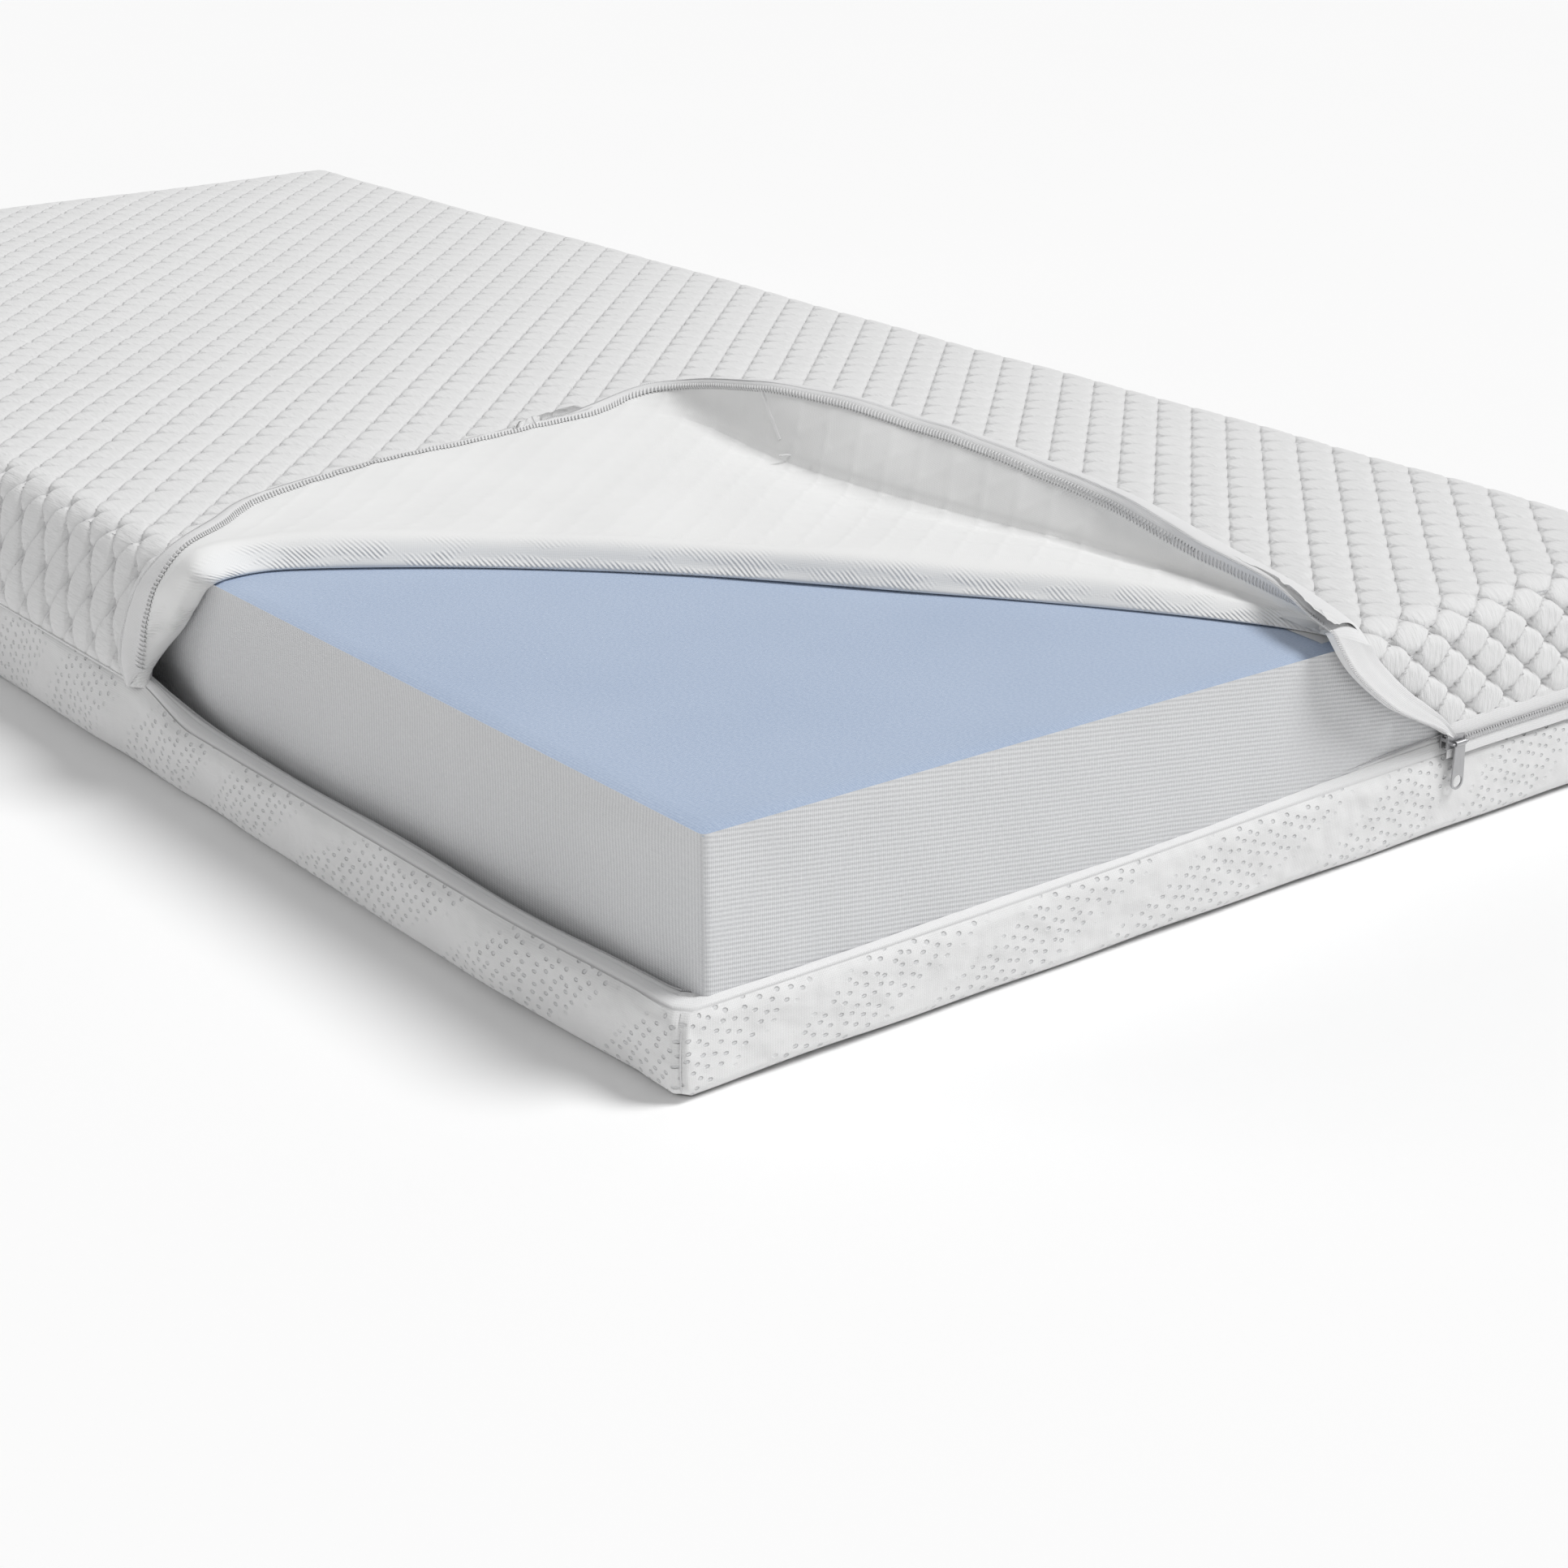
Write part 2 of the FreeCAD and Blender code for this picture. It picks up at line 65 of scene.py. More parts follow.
# ---- mesh helpers
def mesh_piece(name, parts, material):
    """One mesh from grids: a part is (n x m points, n x m cloth coordinates, faces kept or None)."""
    points, coords, quads, start = [], [], [], 0
    for grid, cloth, keep in parts:
        n, m = grid.shape[:2]
        index = np.arange(n * m).reshape(n, m)
        faces = np.stack(
            [index[:-1, :-1], index[1:, :-1], index[1:, 1:], index[:-1, 1:]], -1
        ).reshape(-1, 4)
        if keep is not None:
            faces = faces[keep.reshape(-1)]
        used, inverse = np.unique(faces, return_inverse=True)
        points.append(grid.reshape(-1, 3)[used])
        coords.append(cloth.reshape(-1, 2)[used])
        quads.append(inverse.reshape(-1, 4) + start)
        start += len(used)
    points, coords, quads = (np.concatenate(x) for x in (points, coords, quads))
    mesh = bpy.data.meshes.new(name)
    mesh.vertices.add(len(points))
    mesh.vertices.foreach_set("co", points.astype(np.float32).ravel())
    mesh.loops.add(quads.size)
    mesh.loops.foreach_set("vertex_index", quads.astype(np.int32).ravel())
    mesh.polygons.add(len(quads))
    mesh.polygons.foreach_set("loop_start", np.arange(0, quads.size, 4, dtype=np.int32))
    mesh.polygons.foreach_set("use_smooth", np.ones(len(quads), bool))
    cloth = mesh.uv_layers.new(name="cloth")
    cloth.data.foreach_set("uv", coords[quads.ravel()].astype(np.float32).ravel())
    mesh.update(calc_edges=True)
    mesh.validate()
    piece = bpy.data.objects.new(name, mesh)
    bpy.context.scene.collection.objects.link(piece)
    mesh.materials.append(material)
    return piece


def unit(vectors):
    return vectors / (np.linalg.norm(vectors, axis=-1, keepdims=True) + 1e-12)


def lattice(a, b):
    return np.stack(np.meshgrid(a, b, indexing="ij"), -1)


def run_along(points):
    """Length along a line of points, 0 at its first."""
    return np.concatenate([[0], np.cumsum(np.linalg.norm(np.diff(points, axis=0), axis=1))])


def run_across(grid):
    """Length along each row of a grid, 0 at its first point."""
    steps = np.linalg.norm(np.diff(grid, axis=1), axis=2)
    return np.pad(np.cumsum(steps, axis=1), ((0, 0), (1, 0)))


def read_off(at, run, points):
    """Points of a line, which are known at the lengths run, at the lengths at."""
    return np.stack([np.interp(at, run, column) for column in np.transpose(points)], 1)


def curve_through(points, at):
    """Smooth curve through points (first axis), sampled at the parameters 0 to len-1."""
    points = np.asarray(points, float)
    last = len(points) - 1
    i = np.clip(np.floor(at).astype(int), 0, last - 1)
    t = (np.asarray(at) - i).reshape((-1,) + (1,) * (points.ndim - 1))
    slope = np.gradient(points, axis=0)
    a, b, ma, mb = points[i], points[i + 1], slope[i], slope[i + 1]
    return (
        (2 * t**3 - 3 * t**2 + 1) * a
        + (t**3 - 2 * t**2 + t) * ma
        + (3 * t**2 - 2 * t**3) * b
        + (t**3 - t**2) * mb
    )


def even(points, count):
    """count points evenly spaced along a smooth curve through the given ones."""
    fine = curve_through(points, np.linspace(0, len(points) - 1, 40 * len(points)))
    run = run_along(fine)
    return read_off(np.linspace(0, run[-1], count), run, fine)


def soft(x, low, high):
    """0 at low and 1 at high, smooth between."""
    t = np.clip((x - low) / (high - low), 0, 1)
    return t * t * (3 - 2 * t)


def ripple(x, y, seed, *waves):
    """Sum of a few slow waves, each (length in metres, height in metres)."""
    r = np.random.default_rng(seed)
    total = 0.0
    for length, height in waves:
        for _ in range(3):
            a, p = r.uniform(0, 2 * np.pi), r.uniform(0, 2 * np.pi)
            k = 2 * np.pi / (length * r.uniform(0.8, 1.25))
            total = total + height * np.sin(k * (x * np.cos(a) + y * np.sin(a)) + p) / 1.7
    return total


def tubes(name, paths, radius, material, sides=6):
    """Many short threads: paths is threads x points x 3."""
    paths = np.asarray(paths, float)
    along = unit(np.gradient(paths, axis=1))
    up = np.where(np.abs(along[..., 2:]) > 0.9, (0.3, 1.0, 0.0), (0.0, 0.0, 1.0))
    side = unit(np.cross(along, up))
    over = np.cross(side, along)
    turn = np.linspace(0, 2 * np.pi, sides + 1)
    about = np.cos(turn)[:, None] * side[:, :, None] + np.sin(turn)[:, None] * over[:, :, None]
    cloth = lattice(np.arange(paths.shape[1]) * 0.001, turn * radius)
    return mesh_piece(name, [(r, cloth, None) for r in paths[:, :, None] + radius * about], material)


# ---- materials
def start_material(name):
    m = bpy.data.materials.new(name)
    m.use_nodes = True
    tree = m.node_tree
    tree.nodes.clear()
    out = tree.nodes.new("ShaderNodeOutputMaterial")
    shader = tree.nodes.new("ShaderNodeBsdfPrincipled")
    tree.links.new(shader.outputs["BSDF"], out.inputs["Surface"])
    return m, tree, shader


def node(tree, kind, **values):
    """A node with its inputs set by name; set_ marks a property of the node itself."""
    n = tree.nodes.new(kind)
    for key, value in values.items():
        if key.startswith("set_"):
            setattr(n, key[4:], value)
        else:
            n.inputs[key.replace("_", " ")].default_value = value
    return n


def maths(tree, operation, a, b=None):
    n = tree.nodes.new("ShaderNodeMath")
    n.operation = operation
    for socket, value in zip(n.inputs, (a, b)):
        if value is None:
            continue
        if isinstance(value, (int, float)):
            socket.default_value = value
        else:
            tree.links.new(value, socket)
    return n.outputs[0]


def times(tree, a, b):
    return maths(tree, "MULTIPLY", a, b)


def plus(tree, a, b):
    return maths(tree, "ADD", a, b)


def minus(tree, a, b):
    return maths(tree, "SUBTRACT", a, b)


def place(tree, kind="UV"):
    return tree.nodes.new("ShaderNodeTexCoord").outputs[kind]


def scaled(tree, vector, x, y, z=1.0, turn=0.0):
    n = tree.nodes.new("ShaderNodeMapping")
    n.inputs["Scale"].default_value = (x, y, z)
    n.inputs["Rotation"].default_value = (0, 0, turn)
    tree.links.new(vector, n.inputs["Vector"])
    return n.outputs["Vector"]


def noise(tree, vector, scale, detail=2.0, rough=0.5):
    n = node(tree, "ShaderNodeTexNoise", Scale=scale, Detail=detail, Roughness=rough)
    tree.links.new(vector, n.inputs["Vector"])
    return n.outputs["Fac"]


def stripes(tree, vector, per_metre, turn=0.0, wobble=0.0):
    """Waves at so many to the metre: Blender's wave texture has 3.18 of them to a unit."""
    n = node(tree, "ShaderNodeTexWave", Scale=1.0, Distortion=wobble, Detail=1.0)
    n.inputs["Detail Scale"].default_value = 0.6
    scale = per_metre / 3.1831
    tree.links.new(scaled(tree, vector, scale, scale, 1, turn), n.inputs["Vector"])
    return n.outputs["Fac"]


def ramp(tree, value, low, high):
    """0 at low and 1 at high, smooth between."""
    n = node(tree, "ShaderNodeMapRange", set_interpolation_type="SMOOTHSTEP", From_Min=low, From_Max=high)
    tree.links.new(value, n.inputs["Value"])
    return n.outputs["Result"]


def weave_of(tree, uv, rows, wales, wobble):
    """Threads of a fine knit, rows and wales to the metre."""
    crossing = stripes(tree, uv, wales, math.pi / 2, wobble)
    return times(tree, stripes(tree, uv, rows, 0.0, wobble), crossing)


def mixture(tree, a, share_a, b, share_b):
    return plus(tree, times(tree, a, share_a), times(tree, b, share_b))


def blend_colour(tree, factor, low, high):
    n = tree.nodes.new("ShaderNodeMix")
    n.data_type = "RGBA"
    n.inputs["A"].default_value = (*low, 1)
    n.inputs["B"].default_value = (*high, 1)
    tree.links.new(factor, n.inputs["Factor"])
    return n.outputs["Result"]


def coloured(tree, shader, factor, low, high):
    tree.links.new(blend_colour(tree, factor, low, high), shader.inputs["Base Color"])


def bumped(tree, shader, *layers):
    """Each layer is (height output, distance in metres)."""
    last = None
    for height, distance in layers:
        b = tree.nodes.new("ShaderNodeBump")
        b.inputs["Strength"].default_value = 1.0
        b.inputs["Distance"].default_value = distance
        tree.links.new(height, b.inputs["Height"])
        if last is not None:
            tree.links.new(last, b.inputs["Normal"])
        last = b.outputs["Normal"]
    tree.links.new(last, shader.inputs["Normal"])


def cloth_finish(shader, rough=0.9, sheen=0.25):
    shader.inputs["Roughness"].default_value = rough
    shader.inputs["Specular IOR Level"].default_value = 0.25
    shader.inputs["Sheen Weight"].default_value = sheen
    shader.inputs["Sheen Roughness"].default_value = 0.5


def knit_material(name, low, high, grain, pitch, slow, rough=0.9, sheen=0.2):
    """A plain fine knit; pitch is its rows to the metre and slow its patches of tone."""
    m, tree, shader = start_material(name)
    cloth_finish(shader, rough, sheen)
    uv = place(tree)
    weave = weave_of(tree, uv, pitch, pitch * 0.8, 0.6)
    coloured(tree, shader, mixture(tree, weave, 0.35, noise(tree, uv, slow, 3.0), 0.65), low, high)
    bumped(tree, shader, (weave, grain))
    return m


def leaf_rise(tree, u, v, shift):
    """How far into a leaf of the quilting a point is, 0 on its seam and 1 on its back."""
    a = plus(tree, times(tree, u, 1 / PITCH_X), shift + 0.5)
    b = plus(tree, times(tree, v, 1 / PITCH_Y), shift + 0.5)
    a = maths(tree, "ABSOLUTE", minus(tree, maths(tree, "FRACT", a), 0.5))
    b = times(tree, minus(tree, maths(tree, "FRACT", b), 0.5), math.pi)
    bow = maths(tree, "POWER", maths(tree, "MAXIMUM", maths(tree, "COSINE", b), 0.0), 1.15)
    half = plus(tree, times(tree, bow, 0.435), 0.012)
    rise = times(tree, minus(tree, half, a), PITCH_X / 0.0055)
    return maths(tree, "MINIMUM", maths(tree, "MAXIMUM", rise, 0.0), 1.0)


def quilt_material(name, low, high, seam):
    """Fine knit with its quilting seams; seam is the colour of the painted shade in their valleys, laid on
    deeper on the walls than on the top. The cloth coordinates carry the quilting's lattice.
    """
    m, tree, shader = start_material(name)
    cloth_finish(shader, 0.9, 0.2)
    uv = place(tree)
    parts = tree.nodes.new("ShaderNodeSeparateXYZ")
    tree.links.new(uv, parts.inputs["Vector"])
    u, v = parts.outputs["X"], parts.outputs["Y"]
    leaf = maths(tree, "MAXIMUM", leaf_rise(tree, u, v, 0.0), leaf_rise(tree, u, v, 0.5))
    round_leaf = minus(tree, 1.0, maths(tree, "POWER", minus(tree, 1.0, leaf), 2.0))
    weave = weave_of(tree, uv, 900, 720, 0.6)
    mixed = mixture(tree, weave, 0.35, noise(tree, uv, 20, 3.0), 0.65)
    # the valleys get a painted shade, stronger on the side and end walls than on the top
    on_side = maths(tree, "GREATER_THAN", maths(tree, "ABSOLUTE", v), HALF_W - EDGE_R * 0.6)
    on_end = maths(tree, "GREATER_THAN", maths(tree, "ABSOLUTE", u), HALF_L - EDGE_R * 0.6)
    wall = maths(tree, "MAXIMUM", on_side, times(tree, on_end, 0.4))
    strength = plus(tree, times(tree, wall, 0.45), 0.22)
    painted_valley_shade = times(tree, ramp(tree, leaf, 0.34, 0.0), strength)
    cloth = blend_colour(tree, mixed, low, high)
    # mixes the painted valley shade into the cloth's colour
    seams = tree.nodes.new("ShaderNodeMix")
    seams.data_type = "RGBA"
    seams.inputs["B"].default_value = (*seam, 1)
    tree.links.new(cloth, seams.inputs["A"])
    tree.links.new(painted_valley_shade, seams.inputs["Factor"])
    tree.links.new(seams.outputs["Result"], shader.inputs["Base Color"])
    creases = times(tree, noise(tree, scaled(tree, uv, 55, 260), 1.0, 2.0, 0.55), leaf)
    bumped(tree, shader, (round_leaf, 0.0011), (creases, 0.0012), (weave, 0.0001))
    return m


def pindot_material(name):
    """Lumpy knit with small sunken dots, which fade in and out in slanting bands."""
    m, tree, shader = start_material(name)
    cloth_finish(shader, 0.88, 0.25)
    uv = place(tree)
    cells = node(tree, "ShaderNodeTexVoronoi", set_voronoi_dimensions="2D", Scale=1.0, Randomness=0.42)
    tree.links.new(scaled(tree, uv, 104, 128, 1, 0.5), cells.inputs["Vector"])
    dots = ramp(tree, cells.outputs["Distance"], 0.24, 0.10)
    bands = ramp(tree, stripes(tree, uv, 11.0, 0.85, 7.0), 0.04, 0.40)
    pits = times(tree, dots, bands)
    coloured(tree, shader, pits, (0.80, 0.80, 0.80), (0.68, 0.685, 0.69))
    sunk = minus(tree, 1.0, pits)
    weave = weave_of(tree, uv, 900, 750, 0.4)
    bumped(tree, shader, (noise(tree, uv, 48, 1.0), 0.0030), (sunk, 0.0008), (weave, 0.0001))
    return m


def rib_material(name, low, high, pitch, mottle):
    """Fine ribs, pitch of them to the metre, under a mottled yarn."""
    m, tree, shader = start_material(name)
    cloth_finish(shader, 0.85, 0.2)
    uv = place(tree)
    ribs = stripes(tree, uv, pitch, 0.0, 0.35)
    fine = stripes(tree, uv, 700, math.pi / 2, 0.8)
    spots = noise(tree, scaled(tree, uv, 900, 350), 1.0, 3.0, 0.6)
    slow = noise(tree, uv, 9, 2.0)
    mixed = mixture(tree, mixture(tree, ribs, 0.34, spots, mottle), 0.85, slow, 0.1)
    coloured(tree, shader, mixed, low, high)
    bumped(tree, shader, (ribs, 0.00022), (times(tree, fine, spots), 0.0002))
    return m


def roll_material(name):
    """Smooth lining; beside the fold, where v is small, its twill shows as short slanting strokes."""
    m, tree, shader = start_material(name)
    cloth_finish(shader, 0.9, 0.2)
    uv = place(tree)
    parts = tree.nodes.new("ShaderNodeSeparateXYZ")
    tree.links.new(uv, parts.inputs["Vector"])
    fold = ramp(tree, parts.outputs["Y"], 0.052, 0.026)
    patches = ramp(tree, noise(tree, scaled(tree, uv, 28, 70), 1.0, 2.0), 0.40, 0.66)
    strokes = times(tree, stripes(tree, uv, 340, -0.75, 1.6), patches)
    twill = times(tree, strokes, fold)
    slow = noise(tree, uv, 12, 3.0)
    tone = minus(tree, slow, times(tree, twill, 0.35))
    coloured(tree, shader, tone, (0.84, 0.842, 0.838), (0.885, 0.886, 0.882))
    weave = weave_of(tree, uv, 1000, 800, 0.6)
    bumped(tree, shader, (slow, 0.0012), (twill, 0.0007), (weave, 0.00006))
    return m


def heather_material(name):
    """Brushed jersey in a blue yarn of mixed tones."""
    m, tree, shader = start_material(name)
    cloth_finish(shader, 0.9, 0.35)
    uv = place(tree)
    spots = noise(tree, scaled(tree, uv, 600, 420), 1.0, 3.0, 0.65)
    slow = noise(tree, uv, 6, 2.0)
    mixed = mixture(tree, spots, 0.8, slow, 0.2)
    sharper = times(tree, minus(tree, mixed, 0.25), 1.9)
    coloured(tree, shader, sharper, (0.335, 0.43, 0.60), (0.52, 0.61, 0.76))
    bumped(tree, shader, (weave_of(tree, uv, 620, 520, 0.9), 0.00018), (spots, 0.0001))
    return m


def foam_material(name, low, high):
    m, tree, shader = start_material(name)
    cloth_finish(shader, 0.95, 0.0)
    pores = node(tree, "ShaderNodeTexVoronoi", Scale=700.0)
    tree.links.new(place(tree, "Object"), pores.inputs["Vector"])
    coloured(tree, shader, pores.outputs["Distance"], low, high)
    bumped(tree, shader, (pores.outputs["Distance"], 0.0006))
    return m


def metal_material(name):
    m, tree, shader = start_material(name)
    shader.inputs["Metallic"].default_value = 0.85
    brushed = noise(tree, scaled(tree, place(tree, "Object"), 900, 900, 120), 1.0, 3.0)
    coloured(tree, shader, brushed, (0.40, 0.40, 0.41), (0.52, 0.52, 0.53))
    rough = plus(tree, times(tree, brushed, 0.2), 0.28)
    tree.links.new(rough, shader.inputs["Roughness"])
    bumped(tree, shader, (brushed, 0.00005))
    return m


# the last colour is the painted shade in the quilting's valleys
M_QUILT = quilt_material("quilt_knit", (0.77, 0.77, 0.77), (0.84, 0.84, 0.84), (0.60, 0.60, 0.605))
M_LINING = knit_material("lining_cloth", (0.83, 0.83, 0.83), (0.88, 0.88, 0.88), 0.00006, 1000, 12)
M_ROLL = roll_material("lining_twill")
M_BORDER = pindot_material("border_knit")
M_TAPE = knit_material("zip_tape", (0.78, 0.78, 0.785), (0.86, 0.86, 0.86), 0.00015, 900, 25)
M_COIL = knit_material("zip_coil", (0.66, 0.66, 0.67), (0.78, 0.78, 0.78), 0.00005, 1500, 60, 0.45, 0.0)
M_THREAD = knit_material("seam_thread", (0.80, 0.80, 0.80), (0.88, 0.88, 0.88), 0.00008, 2500, 60, 0.6)
M_RIB = rib_material("liner_grey", (0.52, 0.525, 0.54), (0.84, 0.845, 0.855), 330, 0.72)
M_BLUE = heather_material("liner_blue")
M_FOAM = foam_material("foam_base", (0.62, 0.60, 0.52), (0.80, 0.78, 0.70))
M_MEMORY = foam_material("foam_memory", (0.66, 0.68, 0.72), (0.84, 0.86, 0.90))
M_METAL = metal_material("zip_metal")


# ---- the quilted cloth
def quilt(u, v, depth=0.0036, soften=0.0085):
    """Height of the quilting over its valleys: staggered pointed leaves, long along v."""
    best = np.zeros(np.broadcast(u, v).shape)
    for shift in (0.0, 0.5):
        a = (u / PITCH_X + shift + 0.5) % 1 - 0.5
        b = (v / PITCH_Y + shift + 0.5) % 1 - 0.5
        half = 0.435 * np.cos(np.pi * b) ** 1.15 + 0.012
        rise = np.clip((half - np.abs(a)) * PITCH_X / soften, 0, 1)
        best = np.maximum(best, 1 - (1 - rise) ** 2.3)
    return depth * best


def loosened(x):
    """How far the near side stands out along the bed, most where it is unzipped."""
    return SLACK + 0.022 * soft(x, -0.75, 0.05)


def near_bulge(x, z):
    """How far the cover's near wall stands out at a height."""
    return loosened(x) * soft(TOP - z, 0.004, 0.088)


def foot_bulge(y, z):
    return (0.003 + 0.005 * soft(-y, -0.3, 0.4)) * soft(TOP - z, 0.0, 0.085)


def edge_coordinates(half, fine, coarse, switch, wall_step):
    """Cloth coordinate along one direction, finer beyond switch, with both walls included."""
    wall = EDGE_R * np.pi / 2 + TOP - EDGE_R - QUILT_END
    flat = half - EDGE_R
    inner = [-flat]
    while inner[-1] < flat:
        here = inner[-1]
        inner.append(here + (fine if here > switch else coarse))
    inner = np.array(inner)
    inner = -flat + (inner + flat) * (2 * flat / (inner[-1] + flat))
    down = np.linspace(0, wall, int(wall / wall_step) + 1)[1:]
    return np.concatenate([-flat - down[::-1], inner, flat + down])


def roll_over(c, half):
    """Plan position, drop, depth down the wall and turn of the edge, for a cloth coordinate."""
    flat = half - EDGE_R
    s = np.abs(c) - flat
    turn = np.clip(s / EDGE_R, 0, np.pi / 2)
    plan = np.where(s > 0, flat + EDGE_R * np.sin(turn), np.abs(c)) * np.sign(c)
    drop = np.where(s > 0, EDGE_R * (1 - np.cos(turn)), 0.0)
    return plan, drop, np.clip(s - EDGE_R * np.pi / 2, 0, None), turn


def flat_to_fold(U, V):
    """Signed distance in the cloth from the fixed cover's cut edge; below 0 is inside the opening."""
    wall_near = HALF_W - EDGE_R + EDGE_R * np.pi / 2
    wall_foot = HALF_L - EDGE_R + EDGE_R * np.pi / 2
    up_near_wall = [(0.338, -0.17), (0.338, -0.060), (0.346, -0.036), (0.366, -0.012)]
    over_bed = [
        (0.392, -0.440), (0.402, -0.405), (0.424, -0.354), (0.474, -0.285), (0.532, -0.220),
        (0.594, -0.160), (0.664, -0.104), (0.724, -0.058), (0.778, -0.016), (0.840, 0.028),
        (0.894, 0.063), (0.935, 0.074), (0.975, 0.070),
    ]
    down_foot = [
        (-0.012, 0.070), (0.008, 0.088), (0.022, 0.112), (0.036, 0.136), (0.050, 0.156),
        (0.066, 0.177), (0.2, 0.190),
    ]
    near_part = np.array(up_near_wall) - (0, wall_near)
    foot_part = np.array(down_foot) + (wall_foot, 0)
    line = np.concatenate([near_part, over_bed, foot_part])
    P = np.stack([U, V], -1)
    best = np.full(U.shape, 1e9)
    sign = np.ones(U.shape)
    push = np.zeros(P.shape)
    for a, b in zip(line[:-1], line[1:]):
        d = b - a
        t = np.clip(((P - a) @ d) / (d @ d), 0, 1)
        gap = P - (a + t[..., None] * d)
        dist = np.linalg.norm(gap, axis=-1)
        closer = dist < best
        best = np.where(closer, dist, best)
        side = d[0] * (P[..., 1] - a[1]) - d[1] * (P[..., 0] - a[0])
        sign = np.where(closer, np.where(side >= 0, 1.0, -1.0), sign)
        push = np.where(closer[..., None], -gap, push)
    return best * sign, push


def on_walls(c, half, rate):
    """Cloth coordinate for the pattern, which is stretched or squeezed on the walls."""
    flat = half - EDGE_R
    return np.sign(c) * (np.minimum(np.abs(c), flat) + rate * np.clip(np.abs(c) - flat, 0, None))


def puffed(U, V):
    """Quilting of the whole cover, deeper on its walls, on a slightly uneven filling."""
    u, v = on_walls(U, HALF_L, 1.27), on_walls(V, HALF_W, 0.854)
    wall = soft(np.abs(V), HALF_W - EDGE_R, HALF_W) + soft(np.abs(U), HALF_L - EDGE_R, HALF_L)
    depth = 0.0030 + 0.0018 * np.clip(wall, 0, 1)
    return quilt(u, v, depth) + ripple(U, V, 3, (0.55, 0.0010), (0.21, 0.0006)) - depth


def plain(U, V):
    return 0.0 * U


def cover_grid(U, V, lift, inset):
    """The cover over its cross-shaped cloth; lift(U, V) is the quilting height."""
    px, dx, wx, tx = roll_over(U, HALF_L)
    py, dy, wy, ty = roll_over(V, HALF_W)
    low = QUILT_END - 0.0100 * np.maximum(soft(-px, -0.325, -0.305), (V < 0) & (wy > 0))
    straight = TOP - EDGE_R - QUILT_END
    shoulder = TOP - dx - dy
    z = shoulder - (shoulder - low) * np.clip(np.maximum(wx, wy) / straight, 0, 1)
    out_left = np.where(V < 0, near_bulge(px, z) * soft(np.abs(py), 0.40, 0.45), 0)
    filled = SLACK * soft(TOP - z, 0, 0.08)
    out_right = np.where(V > 0, filled * soft(np.abs(py), 0.40, 0.45), 0)
    out_end = np.where(U > 0, foot_bulge(py, z), filled)
    x = px + np.sign(U) * out_end * soft(np.abs(px), 0.95, 1.0)
    y = py - out_left + out_right
    normal = unit(
        np.stack([np.sin(tx) * np.sign(U), np.sin(ty) * np.sign(V), np.cos(tx) * np.cos(ty)], -1)
    )
    hem = soft(z, low, low + 0.006)
    height = (lift(U, V) - inset) * soft(z, low - 0.001, low + 0.006) - 0.0012 * (1 - hem)
    points = np.stack([x, y, z], -1) + height[..., None] * normal
    middle = np.array([HALF_L, HALF_W]) - CORNER_R
    past = np.abs(points[..., :2]) - middle
    both = (past > 0).all(-1, keepdims=True)
    pull = past.max(-1, keepdims=True) / np.maximum(np.linalg.norm(past, axis=-1, keepdims=True), 1e-9)
    rounded = np.sign(points[..., :2]) * (middle + past * pull)
    points[..., :2] = np.where(both, rounded, points[..., :2])
    cut_out = (wx[:-1, :-1] + wx[1:, 1:] > 1e-6) & (wy[:-1, :-1] + wy[1:, 1:] > 1e-6)
    return points, ~cut_out


def cover_piece(name, fine, coarse, wall_step, lift, inset, material):
    u = edge_coordinates(HALF_L, fine, coarse, -0.15, wall_step)
    v = edge_coordinates(HALF_W, fine, fine, -1, wall_step)
    U, V = np.meshgrid(u, v, indexing="ij")
    gap, push = flat_to_fold(U, V)
    inside = gap < 0
    faces_in = inside[:-1, :-1] & inside[1:, :-1] & inside[1:, 1:] & inside[:-1, 1:]
    near_cut = inside & (np.linalg.norm(push, axis=-1) < 3 * coarse)
    U, V = U + near_cut * push[..., 0], V + near_cut * push[..., 1]
    points, cross = cover_grid(U, V, lift, inset)
    cloth = np.stack([on_walls(U, HALF_L, 1.27), on_walls(V, HALF_W, 0.854)], -1)
    return mesh_piece(name, [(points, cloth, cross & ~faces_in)], material)


# ---- core: foams in their knitted liner
COVERED_R = 0.0205
FOAM_R = 0.006
LINER_R = 0.004


def fitted(points, radius=COVERED_R):
    """Core points, with the three corners that the cover hides pressed round to fit inside it."""
    middle = np.array([HALF_L - EDGE_R, HALF_W - EDGE_R, TOP - EDGE_R])
    side = np.sign(points) * [1, 1, 0] + [0, 0, 1]
    out = points * side - middle
    reach = np.linalg.norm(out, axis=-1, keepdims=True)
    hidden = (out > 0).all(-1, keepdims=True) & ((points[..., :1] < 0) | (points[..., 1:2] > 0))
    pressed = (middle + out * radius / np.maximum(reach, 1e-6)) * side
    return np.where(hidden & (reach > radius), pressed, points)


def foam_block(name, low, high, material):
    """A closed foam block, as one grid rolled round it from its underside's middle to its top's."""
    half = np.array([CORE_L, CORE_W]) - 0.002
    turn = np.linspace(0, math.pi / 2, 5)
    arc = half - FOAM_R + FOAM_R * np.stack([np.cos(turn), np.sin(turn)], 1)
    around = np.concatenate([arc, arc[::-1] * (-1, 1), -arc, arc[::-1] * (1, -1), arc[:1]])
    eased, middle = around * (1 - 0.003 / half), np.zeros_like(around)
    rings = [(middle, low), (eased, low), (around, low + 0.002)]
    rings += [(around, high - 0.002), (eased, high), (middle, high)]
    grid = np.stack([np.column_stack([ring, np.full(len(ring), z)]) for ring, z in rings], 1)
    grid = fitted(grid, COVERED_R - 0.001)
    return mesh_piece(name, [(grid, grid[..., :2].copy(), None)], material)


